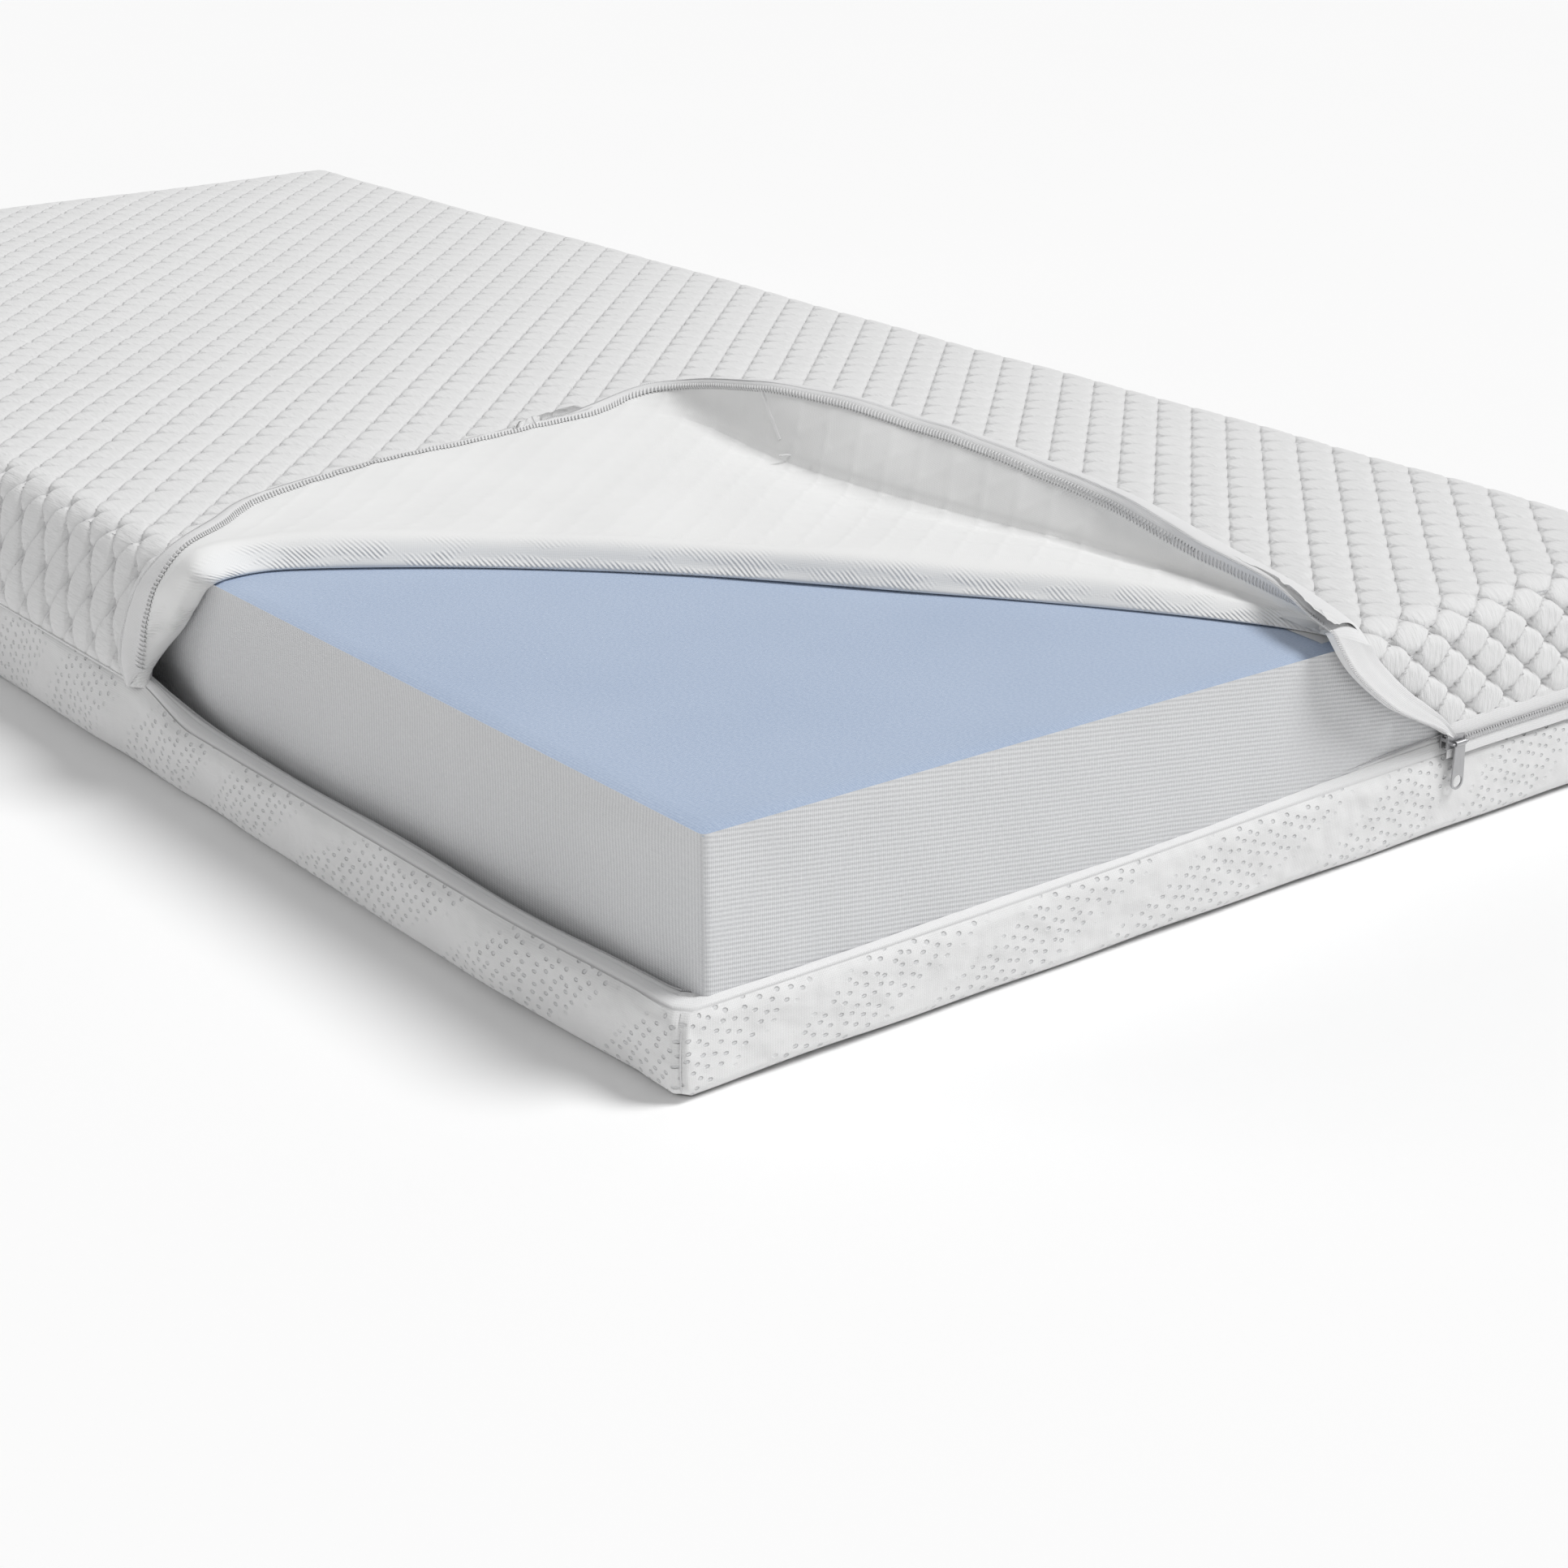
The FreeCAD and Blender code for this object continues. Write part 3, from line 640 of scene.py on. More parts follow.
FOAM_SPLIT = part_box("base_foam")[1].z
base_foam = foam_block("foam_base_block", CORE_LOW + 0.001, FOAM_SPLIT, M_FOAM)
memory_foam = foam_block("foam_memory_block", FOAM_SPLIT, CORE_TOP - 0.0015, M_MEMORY)


def liner_sheet(name, z, sign, material):
    """The liner's top or underside, which turns down to its seam; sign is the way it faces."""
    x, y = CORE_L - 0.0006, CORE_W - 0.0006
    plan = lattice(np.linspace(-1, 1, 241) * x, np.linspace(-1, 1, 121) * y)
    X, Y = plan[..., 0], plan[..., 1]
    edge = np.minimum(CORE_L - np.abs(X), CORE_W - np.abs(Y))
    rise = ripple(X, Y, 11, (0.30, 0.0003)) * soft(edge, 0, 0.03) - 0.0022 * (1 - soft(edge, 0, 0.007))
    return mesh_piece(name, [(fitted(np.stack([X, Y, z + sign * rise], -1)), plan, None)], material)


liner_top = liner_sheet("liner_top_knit", CORE_TOP, 1, M_BLUE)
liner_bottom = liner_sheet("liner_bottom_knit", CORE_LOW, -1, M_RIB)


def liner_wall(length, offset, count):
    """One side of the liner along its own s, from mid-corner to mid-corner: (along, out)."""
    s = np.linspace(-1, 1, count)
    s = np.sign(s) * (1 - (1 - np.abs(s)) ** 1.25) * length
    over = np.clip(np.abs(s) - (length - LINER_R), 0, LINER_R) / LINER_R * (math.pi / 4)
    along = np.where(over > 0, np.sign(s) * (length - LINER_R + LINER_R * np.sin(over)), s)
    return s, along, offset - LINER_R * (1 - np.cos(over))


parts = []
heights = np.linspace(CORE_LOW + 0.0012, CORE_TOP - 0.0010, 45)
for kind in range(4):
    length, offset = ((CORE_L, CORE_W) if kind < 2 else (CORE_W, CORE_L))
    sign = 1 if kind % 2 else -1
    s, along, out = liner_wall(length, offset, 260 if kind < 2 else 140)
    S, Z = np.meshgrid(s, heights, indexing="ij")
    A, O = np.broadcast_to(along[:, None], S.shape), np.broadcast_to(out[:, None], S.shape)
    ends = soft(length - np.abs(S), 0.0, 0.03)
    rims = soft(np.minimum(Z - CORE_LOW, CORE_TOP - Z), 0.0, 0.02)
    O = O + ends * rims * ripple(S, Z, 20 + kind, (0.22, 0.0007), (0.07, 0.00025))
    if kind < 2:
        grid, cloth = np.stack([A, sign * O, Z], -1), np.stack([S, Z], -1)
    else:
        slant = Z + 0.15 * S
        grid, cloth = np.stack([sign * O, A, Z], -1), np.stack([slant, S], -1)
    parts.append((fitted(grid), cloth, None))
liner_sides = mesh_piece("liner_side_knit", parts, M_RIB)


# ---- lower half of the cover
def tray_out(side, s):
    """How far the lower border stands out from the plain box, along one side."""
    if side == "near":
        return loosened(s) - 0.008 * soft(s, 0.80, 1.0)
    if side == "foot":
        return 0.0012 + 0.0010 * soft(-s, -0.25, 0.45)
    return SLACK + 0.0 * s


def tray_top(side, s):
    """Height of the border's upper edge."""
    if side == "near":
        dip = soft(s, 0.335, 0.42)
        return 0.0705 * (1 - dip) + dip * (0.0530 + 0.0015 * soft(s, 0.45, 0.9))
    if side == "foot":
        return 0.0545 + 0.0050 * soft(s, -0.30, 0.15)
    if side == "far":
        return 0.0595 + 0.0110 * soft(-s, -0.33, -0.29)
    return 0.0705 + 0.0 * s


SIDES = {
    "near": (HALF_L, HALF_W, lambda a, o, z: (a, -o, z)),
    "far": (HALF_L, HALF_W, lambda a, o, z: (a, o, z)),
    "foot": (HALF_W, HALF_L, lambda a, o, z: (o, a, z)),
    "head": (HALF_W, HALF_L, lambda a, o, z: (-o, a, z)),
}
CORNER_GROOVE = 0.0045
NEXT = {"near": ("head", "foot"), "far": ("head", "foot"), "foot": ("near", "far"), "head": ("near", "far")}


def side_run(side, step):
    """Positions along one side, reaching out to where its neighbours bulge."""
    length, offset, _ = SIDES[side]
    at = offset if side in ("far", "foot") else -offset
    ends = [tray_out(other, np.array(at)) for other in NEXT[side]]
    close = np.linspace(0, 0.024, 19)
    s = np.linspace(-length + 0.024, length - 0.024, int(2 * length / step))[1:-1]
    s = np.concatenate([close - length, s, length - close[::-1]])
    stretch = np.interp(s, [-length, 0, length], [-ends[0], 0, ends[1]])
    return s, s + stretch


def tray_wall(side):
    """One border panel: tucked under at its foot, bellied and waved, drawn in at its corners."""
    s, along = side_run(side, 0.0055)
    length, offset, put = SIDES[side]
    t = np.concatenate([np.linspace(0, 0.18, 8)[:-1], np.linspace(0.18, 1, 15)])
    S, T = np.meshgrid(s, t, indexing="ij")
    top = tray_top(side, S)
    ends = soft(length - np.abs(S), 0, 0.02)
    low = 0.0006 + 0.0008 * (1 + np.sin(S * 34 + 1.0) * np.sin(S * 13)) * ends
    Z = low + (top - low) * T
    out = tray_out(side, S)
    belly = np.sin(np.clip(T, 0, 1) * math.pi) ** 0.8
    wave = ripple(S, Z * 2.5, seed_of(side), (0.26, 0.0028), (0.11, 0.0013)) * belly
    wave = wave * (0.35 + 0.65 * ends)
    under = 0.0065 * (1 - np.sin(np.clip(T / 0.16, 0, 1) * math.pi / 2))
    to_end = length - np.abs(S)
    calm = 0.28 if side == "foot" else 1.0
    lobe = 0.0030 * calm * np.sin(np.clip(to_end / 0.045, 0, 1) * math.pi) * (0.4 + 0.6 * belly)
    O = offset + out * (0.90 + 0.10 * belly) - under + (wave + 0.0025 * belly) * calm + lobe
    curl = 0.0032 * soft(T, 0.90, 1.0)
    O = O - CORNER_GROOVE * (1 - soft(to_end, -0.001, 0.0036)) - curl
    drawn_in = (under + curl + CORNER_GROOVE - 0.0025 * belly) * (1 - soft(to_end, 0.0, 0.022))
    A = along[:, None] - np.sign(S) * drawn_in
    x, y, z = put(A, O, Z)
    return np.stack([x, y, z], -1), np.stack([S, T * 0.066], -1)


def seed_of(word):
    return sum(ord(c) * (i + 3) for i, c in enumerate(word))


borders = {}
for side in SIDES:
    grid, cloth = tray_wall(side)
    borders[side] = (mesh_piece(f"border_{side}_cloth", [(grid, cloth, None)], M_BORDER), grid)


def lower_edge(side, count):
    points = borders[side][1][:, 0]
    return read_off(np.linspace(0, len(points) - 1, count), np.arange(len(points)), points)


# the underside spans the four lower edges
near_low, far_low = lower_edge("near", 161), lower_edge("far", 161)
head_low, foot_low = lower_edge("head", 81), lower_edge("foot", 81)
p, q = np.linspace(0, 1, 161)[:, None, None], np.linspace(0, 1, 81)[None, :, None]
head_bow = head_low - (head_low[0] * (1 - q[0]) + head_low[-1] * q[0])
foot_bow = foot_low - (foot_low[0] * (1 - q[0]) + foot_low[-1] * q[0])
panel = near_low[:, None] * (1 - q) + far_low[:, None] * q + head_bow[None] * (1 - p) + foot_bow[None] * p
bottom = mesh_piece("bottom_panel_cloth", [(panel, panel[..., :2].copy(), None)], M_BORDER)


# ---- zip tapes
def edge_line(side, low, high, step=0.004):
    """Points of a border's top edge between two positions along its side."""
    grid = borders[side][1][:, -1]
    axis = 0 if side in ("near", "far") else 1
    at = np.linspace(low, high, max(2, int(abs(high - low) / step)))
    grid = grid[np.argsort(grid[:, axis])]
    return read_off(at, grid[:, axis], grid)


NEAR_CORNER_X = borders["near"][1][-1, -1, 0]
NEAR_CORNER_Y = borders["foot"][1][0, -1, 1]
open_near = edge_line("near", 0.340, NEAR_CORNER_X - 0.004)
open_foot = edge_line("foot", NEAR_CORNER_Y + 0.004, SLIDER_Y - 0.002)
open_edge = np.concatenate([open_near, open_foot])


def smoothed(points, reach):
    """The line eased over reach, with its ends held, and the length along it."""
    run = run_along(points)
    weight = np.exp(-(((run[:, None] - run[None]) / reach) ** 2))
    keep = np.clip(np.minimum(run, run[-1] - run)[:, None] / reach, 0, 1)
    return (weight @ points) / weight.sum(1, keepdims=True) * keep + points * (1 - keep), run


# the open tape leans in from the border's edge and rises towards both of its ends
eased, tape_run = smoothed(open_edge, 0.030)
ahead = unit(np.gradient(eased[:, :2], axis=0))
outward = np.stack([ahead[:, 1], -ahead[:, 0], np.zeros(len(ahead))], 1)
total = tape_run[-1]
at_slider = soft(tape_run, total - 0.22, total)
at_start = 1 - soft(tape_run, 0, 0.09)
corner_run = tape_run[len(open_near) - 1]
near_side = 1 - soft(tape_run, corner_run - 0.02, corner_run + 0.06)
reach_in = (0.0105 + 0.0070 * near_side) * (1 - 0.55 * at_start) * (1 - 0.45 * at_slider)
rise = 0.0020 + 0.0095 * at_slider + 0.002 * at_start
rise = rise + 0.0012 * np.sin(tape_run * 23) * (1 - at_slider) - 0.003 * near_side * (1 - at_start)
inner = eased - outward * reach_in[:, None] + np.stack([0 * rise, 0 * rise, rise], 1)
across = np.concatenate(
    [
        [0, 0.02, 0.05, 0.09, 0.13],
        np.linspace(0.2, 0.52, 6),
        np.linspace(0.56, 0.72, 7),
        [0.78, 0.85, 0.92, 0.97, 1.0],
    ]
)
t = across[None, :, None]
arch = np.zeros((1, len(across), 3))
arch[..., 2] = np.sin(across * math.pi) ** 0.7 * 0.0026 - 0.0024 * np.exp(-(((across - 0.05) / 0.05) ** 2))
arch[..., 2] -= 0.0010 * np.exp(-(((across - 0.62) / 0.035) ** 2))
open_tape_grid = open_edge[:, None] * (1 - t) + inner[:, None] * t + arch
open_tape_grid[..., 2] -= 0.0022 * (across[None] > 0.99)
open_tape_grid[..., 2] -= 0.0012 * (across[None] < 0.01)
tape_cloth = lattice(tape_run, across * 0.016)


def closed_path(step):
    """The closed zip from the slider round the foot end to its far end stop, and its outward."""
    foot_y = np.arange(SLIDER_Y + (0.009 if step < 0.002 else -0.009), HALF_W - 0.028, step)
    foot_x = HALF_L + foot_bulge(foot_y, ZIP_Z) - 0.0005
    turn = np.linspace(0, math.pi / 2, 12)[1:-1]
    round_corner = np.stack([np.cos(turn), np.sin(turn)], 1)
    corner = np.array([HALF_L - 0.028, HALF_W - 0.028]) + (0.0305, 0.0320) * round_corner
    far_x = np.arange(HALF_L - 0.028, ZIP_START, -step)
    far = np.column_stack([far_x, np.full(len(far_x), HALF_W + 0.0035)])
    line = np.concatenate([np.stack([foot_x, foot_y], 1), corner, far])
    ahead, aside = np.tile([1.0, 0.0], (len(foot_x), 1)), np.tile([0.0, 1.0], (len(far_x), 1))
    return line, np.concatenate([ahead, round_corner, aside])


line, out = closed_path(0.004)
run = run_along(line)


def closed_band(low, high, low_out, high_out, belly):
    """A tape of the closed zip between two heights, standing out by so much at each."""
    t = np.linspace(0, 1, 7)
    push = low_out * (1 - t) + high_out * t + belly * np.sin(t * math.pi)
    xy = line[:, None] + out[:, None] * push[None, :, None]
    z = np.broadcast_to(low + (high - low) * t, xy.shape[:2]) + 0.0004 * np.sin(run * 40)[:, None]
    grid = np.concatenate([xy, z[..., None]], -1)
    return grid, lattice(run, t * (high - low))


lower_closed, lower_cloth = closed_band(0.0588, 0.0692, 0.0005, -0.0012, 0.0006)
upper_closed, upper_cloth = closed_band(0.0708, 0.0835, -0.0012, -0.0008, 0.0010)
tape_lower = mesh_piece(
    "zip_tape_lower_cloth", [(open_tape_grid, tape_cloth, None), (lower_closed, lower_cloth, None)], M_TAPE
)
tape_upper = mesh_piece("zip_tape_upper_cloth", [(upper_closed, upper_cloth, None)], M_TAPE)

fine_line, fine_out = closed_path(0.0014)
lean = np.linspace(-1, 1, 5)
teeth = []
for i, (p, o) in enumerate(zip(fine_line, fine_out)):
    along = np.array([-o[1], o[0]])
    half_turn = 1 if i % 2 else -1
    xy = p + o * 0.0003 + along * 0.00045 * lean[:, None] * half_turn + o * (0.0008 * (1 - lean**2))[:, None]
    teeth.append(np.column_stack([xy, ZIP_Z + 0.0021 * lean]))
chain = tubes("zip_chain_coil", teeth, 0.00048, M_COIL, 5)

# each loop of the open coil, as (outward, up) from the tape's inner edge
LOOP = [(0.0030, 0.0014), (0.0016, 0.0016), (0.0, 0.0006), (-0.0004, -0.0010)]
at = np.arange(0, tape_run[-1], 0.0016)
top_line, top_out = read_off(at, tape_run, inner), read_off(at, tape_run, outward)
loops = np.stack([top_line + top_out * o + (0, 0, z) for o, z in LOOP], 1)
open_coil = tubes("open_zip_coil_loops", loops, 0.00042, M_COIL, 5)


# ---- the cover's fixed part
fine, coarse, wall_step = ((0.0031, 0.0055, 0.0030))
quilted = cover_piece("quilted_cover", fine, coarse, wall_step, puffed, 0.0, M_QUILT)
lining_fixed = cover_piece("inner_lining", 0.009, 0.012, 0.009, plain, 0.0072, M_LINING)

# ---- the turned-back flap
def rolled(first, lip, crest, *over):
    """A row of FLAP_ROWS whose roll swells up from its lip to a crest 16 mm further in."""
    lip = np.array(lip)
    inward, rise = unit(np.array(over[0])[:2] - lip[:2]), crest - lip[2]
    swell = lip + [(*1.5 * inward, 0.35 * rise), (*16 * inward, rise)]
    return [first, lip, *swell, *over]


# Each row runs from the fold on the blue liner over the roll to the free edge, in millimetres:
# first up the near wall, then across the bed to the slider.
FLAP_ROWS = [
    [(352, -466, 68), (353, -470, 68), (352, -472, 68), (350, -474, 68),
     (348, -475, 68), (346, -476, 68), (343, -477, 68), (338, -477, 68)],
    [(346, -458, 84), (353, -464, 80), (354, -470, 81), (351, -474, 83),
     (348, -475, 84), (345, -476, 84), (341, -477, 84), (331, -477, 84)],
    [(350, -450, 100), (359, -455, 95), (362, -463, 98), (359, -469, 102),
     (354, -471, 103), (348, -471, 103), (341, -472, 103), (327, -472, 103)],
    [(366, -446, 120), (378, -448, 116), (382, -459, 121), (372, -465, 128),
     (362, -466, 128), (353, -465, 127), (343, -465, 127), (328, -464, 126)],
    [(385, -444, 144), (399, -447, 137), (401, -459, 145), (386, -462, 153),
     (374, -460, 152), (364, -458, 151), (353, -457, 149), (337, -456, 147)],
    [(398, -432, 158), (418, -442, 157), (416, -452, 168), (400, -446, 177),
     (384, -441, 174), (372, -439, 172), (360, -437, 170), (344, -435, 167)],
    rolled((400, -400, 159), (417, -405, 158.5), 178, (375.7, -397.2, 176), (358, -396, 174),
           (338, -394, 173), (318, -391, 171)),
    rolled((422, -352, 159), (437, -365, 158.5), 178, (398, -345, 176), (350, -342, 174),
           (305, -340, 174), (283, -340, 172)),
    rolled((472, -284, 159), (487, -297, 158.5), 178, (448, -267, 175), (365, -258, 174),
           (282, -245, 175), (260, -243, 173)),
    rolled((530, -218, 159), (545, -232, 158.5), 178, (505, -195, 174), (390, -165, 173),
           (268, -130, 175), (247, -126, 174)),
    rolled((592, -158, 159), (607, -172, 158.5), 178, (567, -132, 174), (425, -80, 172),
           (258, -25, 176), (239, -24, 178)),
    rolled((630, -126, 159), (645, -140, 158.5), 178, (605, -98, 174), (450, -30, 171),
           (290, 40, 176), (238, 63, 190)),
    rolled((675, -90, 159), (690, -105, 158.5), 178, (650, -62, 174), (550, -12, 171),
           (448, 38, 172), (372, 69, 216)),
    rolled((720, -56, 159), (735, -71, 158.5), 177, (697, -30, 174), (615, 8, 171),
           (537, 40, 172), (490, 86, 219)),
    rolled((774, -14, 159), (789, -29, 158.5), 176, (755, 8, 173), (700, 30, 171),
           (647, 52, 172), (612, 93, 215)),
    rolled((835, 30, 159), (850, 15, 158.5), 174, (819.3, 43.7, 172), (790, 56, 171),
           (760, 67, 172), (751, 92, 207)),
    [(890, 62, 159), (904, 50, 158.5), (902.6, 51.3, 163), (893, 60, 170),
     (882, 70, 170), (872, 76, 170), (862, 82, 172), (857, 84, 192)],
    [(932, 84, 159), (944, 72, 158.5), (942.6, 73.2, 162.3), (935, 79, 167),
     (929, 83, 167.5), (925, 84, 168), (921, 84, 171), (918, 80, 183)],
    [(964, 92, 159), (972, 82, 158.5), (972, 83, 161), (969, 85, 164.5),
     (968, 84, 166), (967, 82, 167.5), (967, 76, 172), (967, 63, 179)],
    [(986, 96, 158.5), (992, 87, 158), (992.6, 87, 160), (994, 85, 162.5),
     (995, 83, 164), (996, 79, 166), (998, 70, 171), (1002, 52, 175)],
]
RAIL_STEPS = [3, 5, 7, 8, 26, 26, 16]
EDGE_RAIL, SHELF_RAIL = 7, 6
rows = np.array(FLAP_ROWS) / 1000
row_gap = np.linalg.norm(np.diff(rows[:, (1, EDGE_RAIL)], axis=0), axis=2).mean(1)
row_steps = [max(3, int(gap / 0.0032)) for gap in row_gap]


def stations(steps):
    """Parameters 0 to len(steps), with so many steps from each whole number to the next."""
    spans = [i + np.linspace(0, 1, n, endpoint=False) for i, n in enumerate(steps)]
    return np.concatenate([*spans, [len(steps)]])


row_at, rail_at = stations(row_steps), stations(RAIL_STEPS)
along_rows = curve_through(rows, row_at)
flap_grid = curve_through(along_rows.transpose(1, 0, 2), rail_at).transpose(1, 0, 2)
up_wall = np.clip(rail_at - SHELF_RAIL, 0, 1)
wall_height = along_rows[:, EDGE_RAIL, 2] - along_rows[:, SHELF_RAIL, 2]
end_wall = soft(row_at, 9.5, 11.5) * (1 - soft(row_at, 15.5, 17.5))
flap_grid[..., 2] += (wall_height * end_wall)[:, None] * (up_wall**0.72 - up_wall)[None]


flap_normal = unit(np.cross(np.gradient(flap_grid, axis=0), np.gradient(flap_grid, axis=1)))
if flap_normal[len(flap_normal) // 2, 40, 2] < 0:
    flap_normal = -flap_normal

width_run, fold_run = run_across(flap_grid), run_along(flap_grid[:, 8])
flap_cloth = np.stack([np.broadcast_to(fold_run[:, None], width_run.shape), width_run], -1)

RAIL = np.broadcast_to(rail_at[None, :], width_run.shape)
ROW = np.broadcast_to(row_at[:, None], width_run.shape)
X, Y = flap_grid[..., 0], flap_grid[..., 1]
lying = soft(RAIL, 3.0, 4.0) * soft(ROW, 5, 7) * (1 - soft(ROW, 16, 18))
# folding the corner over turns its quilting by just under a right angle
across_turn, along_turn = 0.9937, 0.1116
turned_quilt = quilt(X * along_turn + Y * across_turn, Y * along_turn - X * across_turn)
print_through = (0.0008 - 0.25 * turned_quilt) * lying * (1 - soft(RAIL, 6.6, 7))
drape = ripple(X, Y, 31, (0.26, 0.0016), (0.11, 0.0007)) * lying * (1 - soft(RAIL, 6.0, 6.6))
roll_wave = ripple(fold_run[:, None], width_run * 0.3, 33, (0.14, 0.0011))
roll_wave = roll_wave * soft(RAIL, 1.2, 2) * (1 - soft(RAIL, 3.5, 5))
edge_wave = ripple(fold_run[:, None], width_run * 0.2, 35, (0.10, 0.0016), (0.045, 0.0006))
edge_wave = edge_wave * soft(RAIL, 6.2, 7) * soft(ROW, 10.5, 12) * (1 - soft(ROW, 17, 19))
flap_surface = flap_grid + flap_normal * (print_through + drape + roll_wave + edge_wave)[..., None]
on_bed = (ROW > 5.5) & (RAIL > 1.5)
flap_surface[..., 2] = np.maximum(flap_surface[..., 2], np.where(on_bed, CORE_TOP + 0.001, 0))
flap_inside = mesh_piece("flap_lining_cloth", [(flap_surface, flap_cloth, None)], M_ROLL)

first = int(np.searchsorted(rail_at, 2.6))
thick = FLAP_THICK + 0.0003 + 0.45 * (turned_quilt - 0.0034) * soft(ROW, 5, 7)
under = (flap_surface - flap_normal * thick[..., None])[:, first:]
flap_quilt = mesh_piece("flap_quilted_cloth", [(under, flap_cloth[:, first:], None)], M_QUILT)

# ---- hem band round the free edge
# width of the band's inner side at each row, and the line of its back edge, in millimetres
BAND_IN = [4, 24, 31, 34, 33, 28, 22, 17, 15, 15, 15, 14, 13, 13, 13, 12, 11, 9, 7, 4]
BACK_LINE = [
    (336, -477, 67), (327, -477, 84), (323, -472, 103), (324, -464, 127), (333, -455, 148), (340, -434, 164),
    (314, -391, 168), (279, -339, 169), (256, -242, 170), (243, -125, 171), (235, -22, 174), (233, 69, 186),
    (369, 77, 213), (492, 95, 215), (615, 105, 209), (758, 114, 196), (861, 116, 180), (928, 112, 171),
    (980, 98, 167), (1004, 88, 160),
]
# the band's last run down the foot end to the slider: its two edges
FOOT_STRIP = [
    ((1009, 70, 145), (1004, 100, 145)),
    ((1010, 107, 114), (1006, 126, 121)),
    ((1009, 134, 99), (1006, 150, 104)),
    ((1007, 160, 86), (1005, 169, 90)),
    ((1003, 182, 73), (1003, 186, 74)),
]
BAND_STEPS = np.linspace(0, 1, 9)
band_in = np.interp(row_at, np.arange(len(BAND_IN)), BAND_IN) / 1000
back_line = curve_through(np.array(BACK_LINE) / 1000, row_at)
band_rows = []
for i in range(len(row_at)):
    inner_at = band_in[i] * BAND_STEPS[::-1]
    from_edge = width_run[i] - width_run[i, -1]
    pts = read_off(-inner_at, from_edge, flap_surface[i])
    nrm = read_off(-inner_at, from_edge, flap_normal[i])
    level = soft(row_at[i], 14.5, 16.5)
    nrm = nrm * (1 - level) + np.array([0.30, -0.45, 0.84]) * level
    pts = pts + nrm * (0.0004 + 0.0012 * np.sin(np.linspace(0.05, 1, 9) * math.pi))[:, None]
    nrm = nrm * (1 - level) + np.array([0.40, 0.10, 0.91]) * level
    reach = back_line[i] - pts[-1]
    puff = BAND_STEPS[1:, None]
    away = unit(reach)
    side = unit(nrm[-1] - away * (nrm[-1] @ away))
    size = min(0.25 * np.linalg.norm(reach), 0.0045)
    band_rows.append(np.concatenate([pts, pts[-1] + reach * puff + side * np.sin(puff * math.pi) * size]))
band_rows = np.array(band_rows)
strip = np.concatenate([[(band_rows[-1, 8], band_rows[-1, -1])], np.array(FOOT_STRIP) / 1000])
foot_rows = []
for a, b in curve_through(strip, np.linspace(0, len(strip) - 1, 70))[1:]:
    tail = a + (b - a) * BAND_STEPS[:, None]
    crown = 0.05 * np.linalg.norm(b - a) * np.sin(BAND_STEPS * math.pi)
    ridges = 0.0014 * np.exp(-((BAND_STEPS - 0.03) ** 2) / 0.01)
    ridges += 0.0018 * np.exp(-((BAND_STEPS - 0.94) ** 2) / 0.006)
    tail[:, 0] += crown + ridges
    head = tail[0] + BAND_STEPS[:0:-1, None] * np.array([-0.009, 0.0015, -0.001])
    foot_rows.append(np.concatenate([head, tail]))
band_grid = np.concatenate([band_rows, np.array(foot_rows)])
band_run, across = run_along(band_grid[:, 8]), run_across(band_grid)
band = mesh_piece(
    "flap_tape_cloth",
    [(band_grid, np.stack([np.broadcast_to(band_run[:, None], across.shape), across], -1), None)],
    M_TAPE,
)

# overlock stitches over the inner side of the hem band
STITCH = 0.0070
stitch_rows = band_grid[: len(row_at)]
run_in = run_along(stitch_rows[:, 1])
stitches = []
for a in np.arange(0.02, run_in[-1] - 0.01, 0.0034):
    i, f = divmod(np.interp(a, run_in, np.arange(len(run_in))), 1)
    i = int(i)
    after = stitch_rows[min(i + 1, len(stitch_rows) - 1)]
    row = stitch_rows[i] * (1 - f) + after * f
    inward, ahead = unit(row[0] - row[2]), unit(after[1] - row[1])
    up = np.cross(ahead, inward)
    up *= np.sign(up @ flap_normal[i, -20]) or 1
    start = row[0] + inward * 0.0016
    stitches.append(
        [
            start - up * 0.0004,
            start - inward * STITCH * 0.33 + up * 0.0011,
            start - inward * STITCH * 0.7 + up * 0.0011 + ahead * 0.0006,
            start - inward * STITCH + ahead * 0.0012,
        ]
    )
overlock = tubes("flap_overlock_stitches", stitches, 0.00055, M_THREAD, 6)

# coil of the flap's own half of the zip, along its free edge
at = np.arange(0.004, band_run[-1] - 0.012, 0.0017)
p = read_off(at, band_run, band_grid[:, 8])
q = read_off(at, band_run, unit(band_grid[:, 9] - band_grid[:, 7]))
lift = np.array([0, 0, 0.0003])
loops = np.stack([p - q * 0.0012, p - q * 0.0004 + lift, p + q * 0.0004 + lift, p + q * 0.0014], 1)
flap_coil = tubes("flap_zip_coil_loops", loops, 0.00038, M_TAPE, 5)

# corner seam inside the pocket, with the small tick of thread at its foot
seam_row = int(np.searchsorted(row_at, 12))
inside_run = np.linspace(6.22, 6.9, 26)
seam = read_off(inside_run, rail_at, flap_surface[seam_row])
seam_up = read_off(inside_run, rail_at, flap_normal[seam_row])
flap_seam = tubes("flap_corner_seam_thread", [seam - seam_up * 0.0017], 0.0022, M_LINING, 10)
tip = flap_surface[seam_row, int(np.searchsorted(rail_at, SHELF_RAIL))]
TICK = np.array([(-4, -4, 4.2), (0, 0, 5.0), (4, 5, 4.4), (8, 8, 4.0)]) / 1000
tick = tubes("flap_corner_tack", [tip + TICK], 0.0009, M_THREAD, 6)

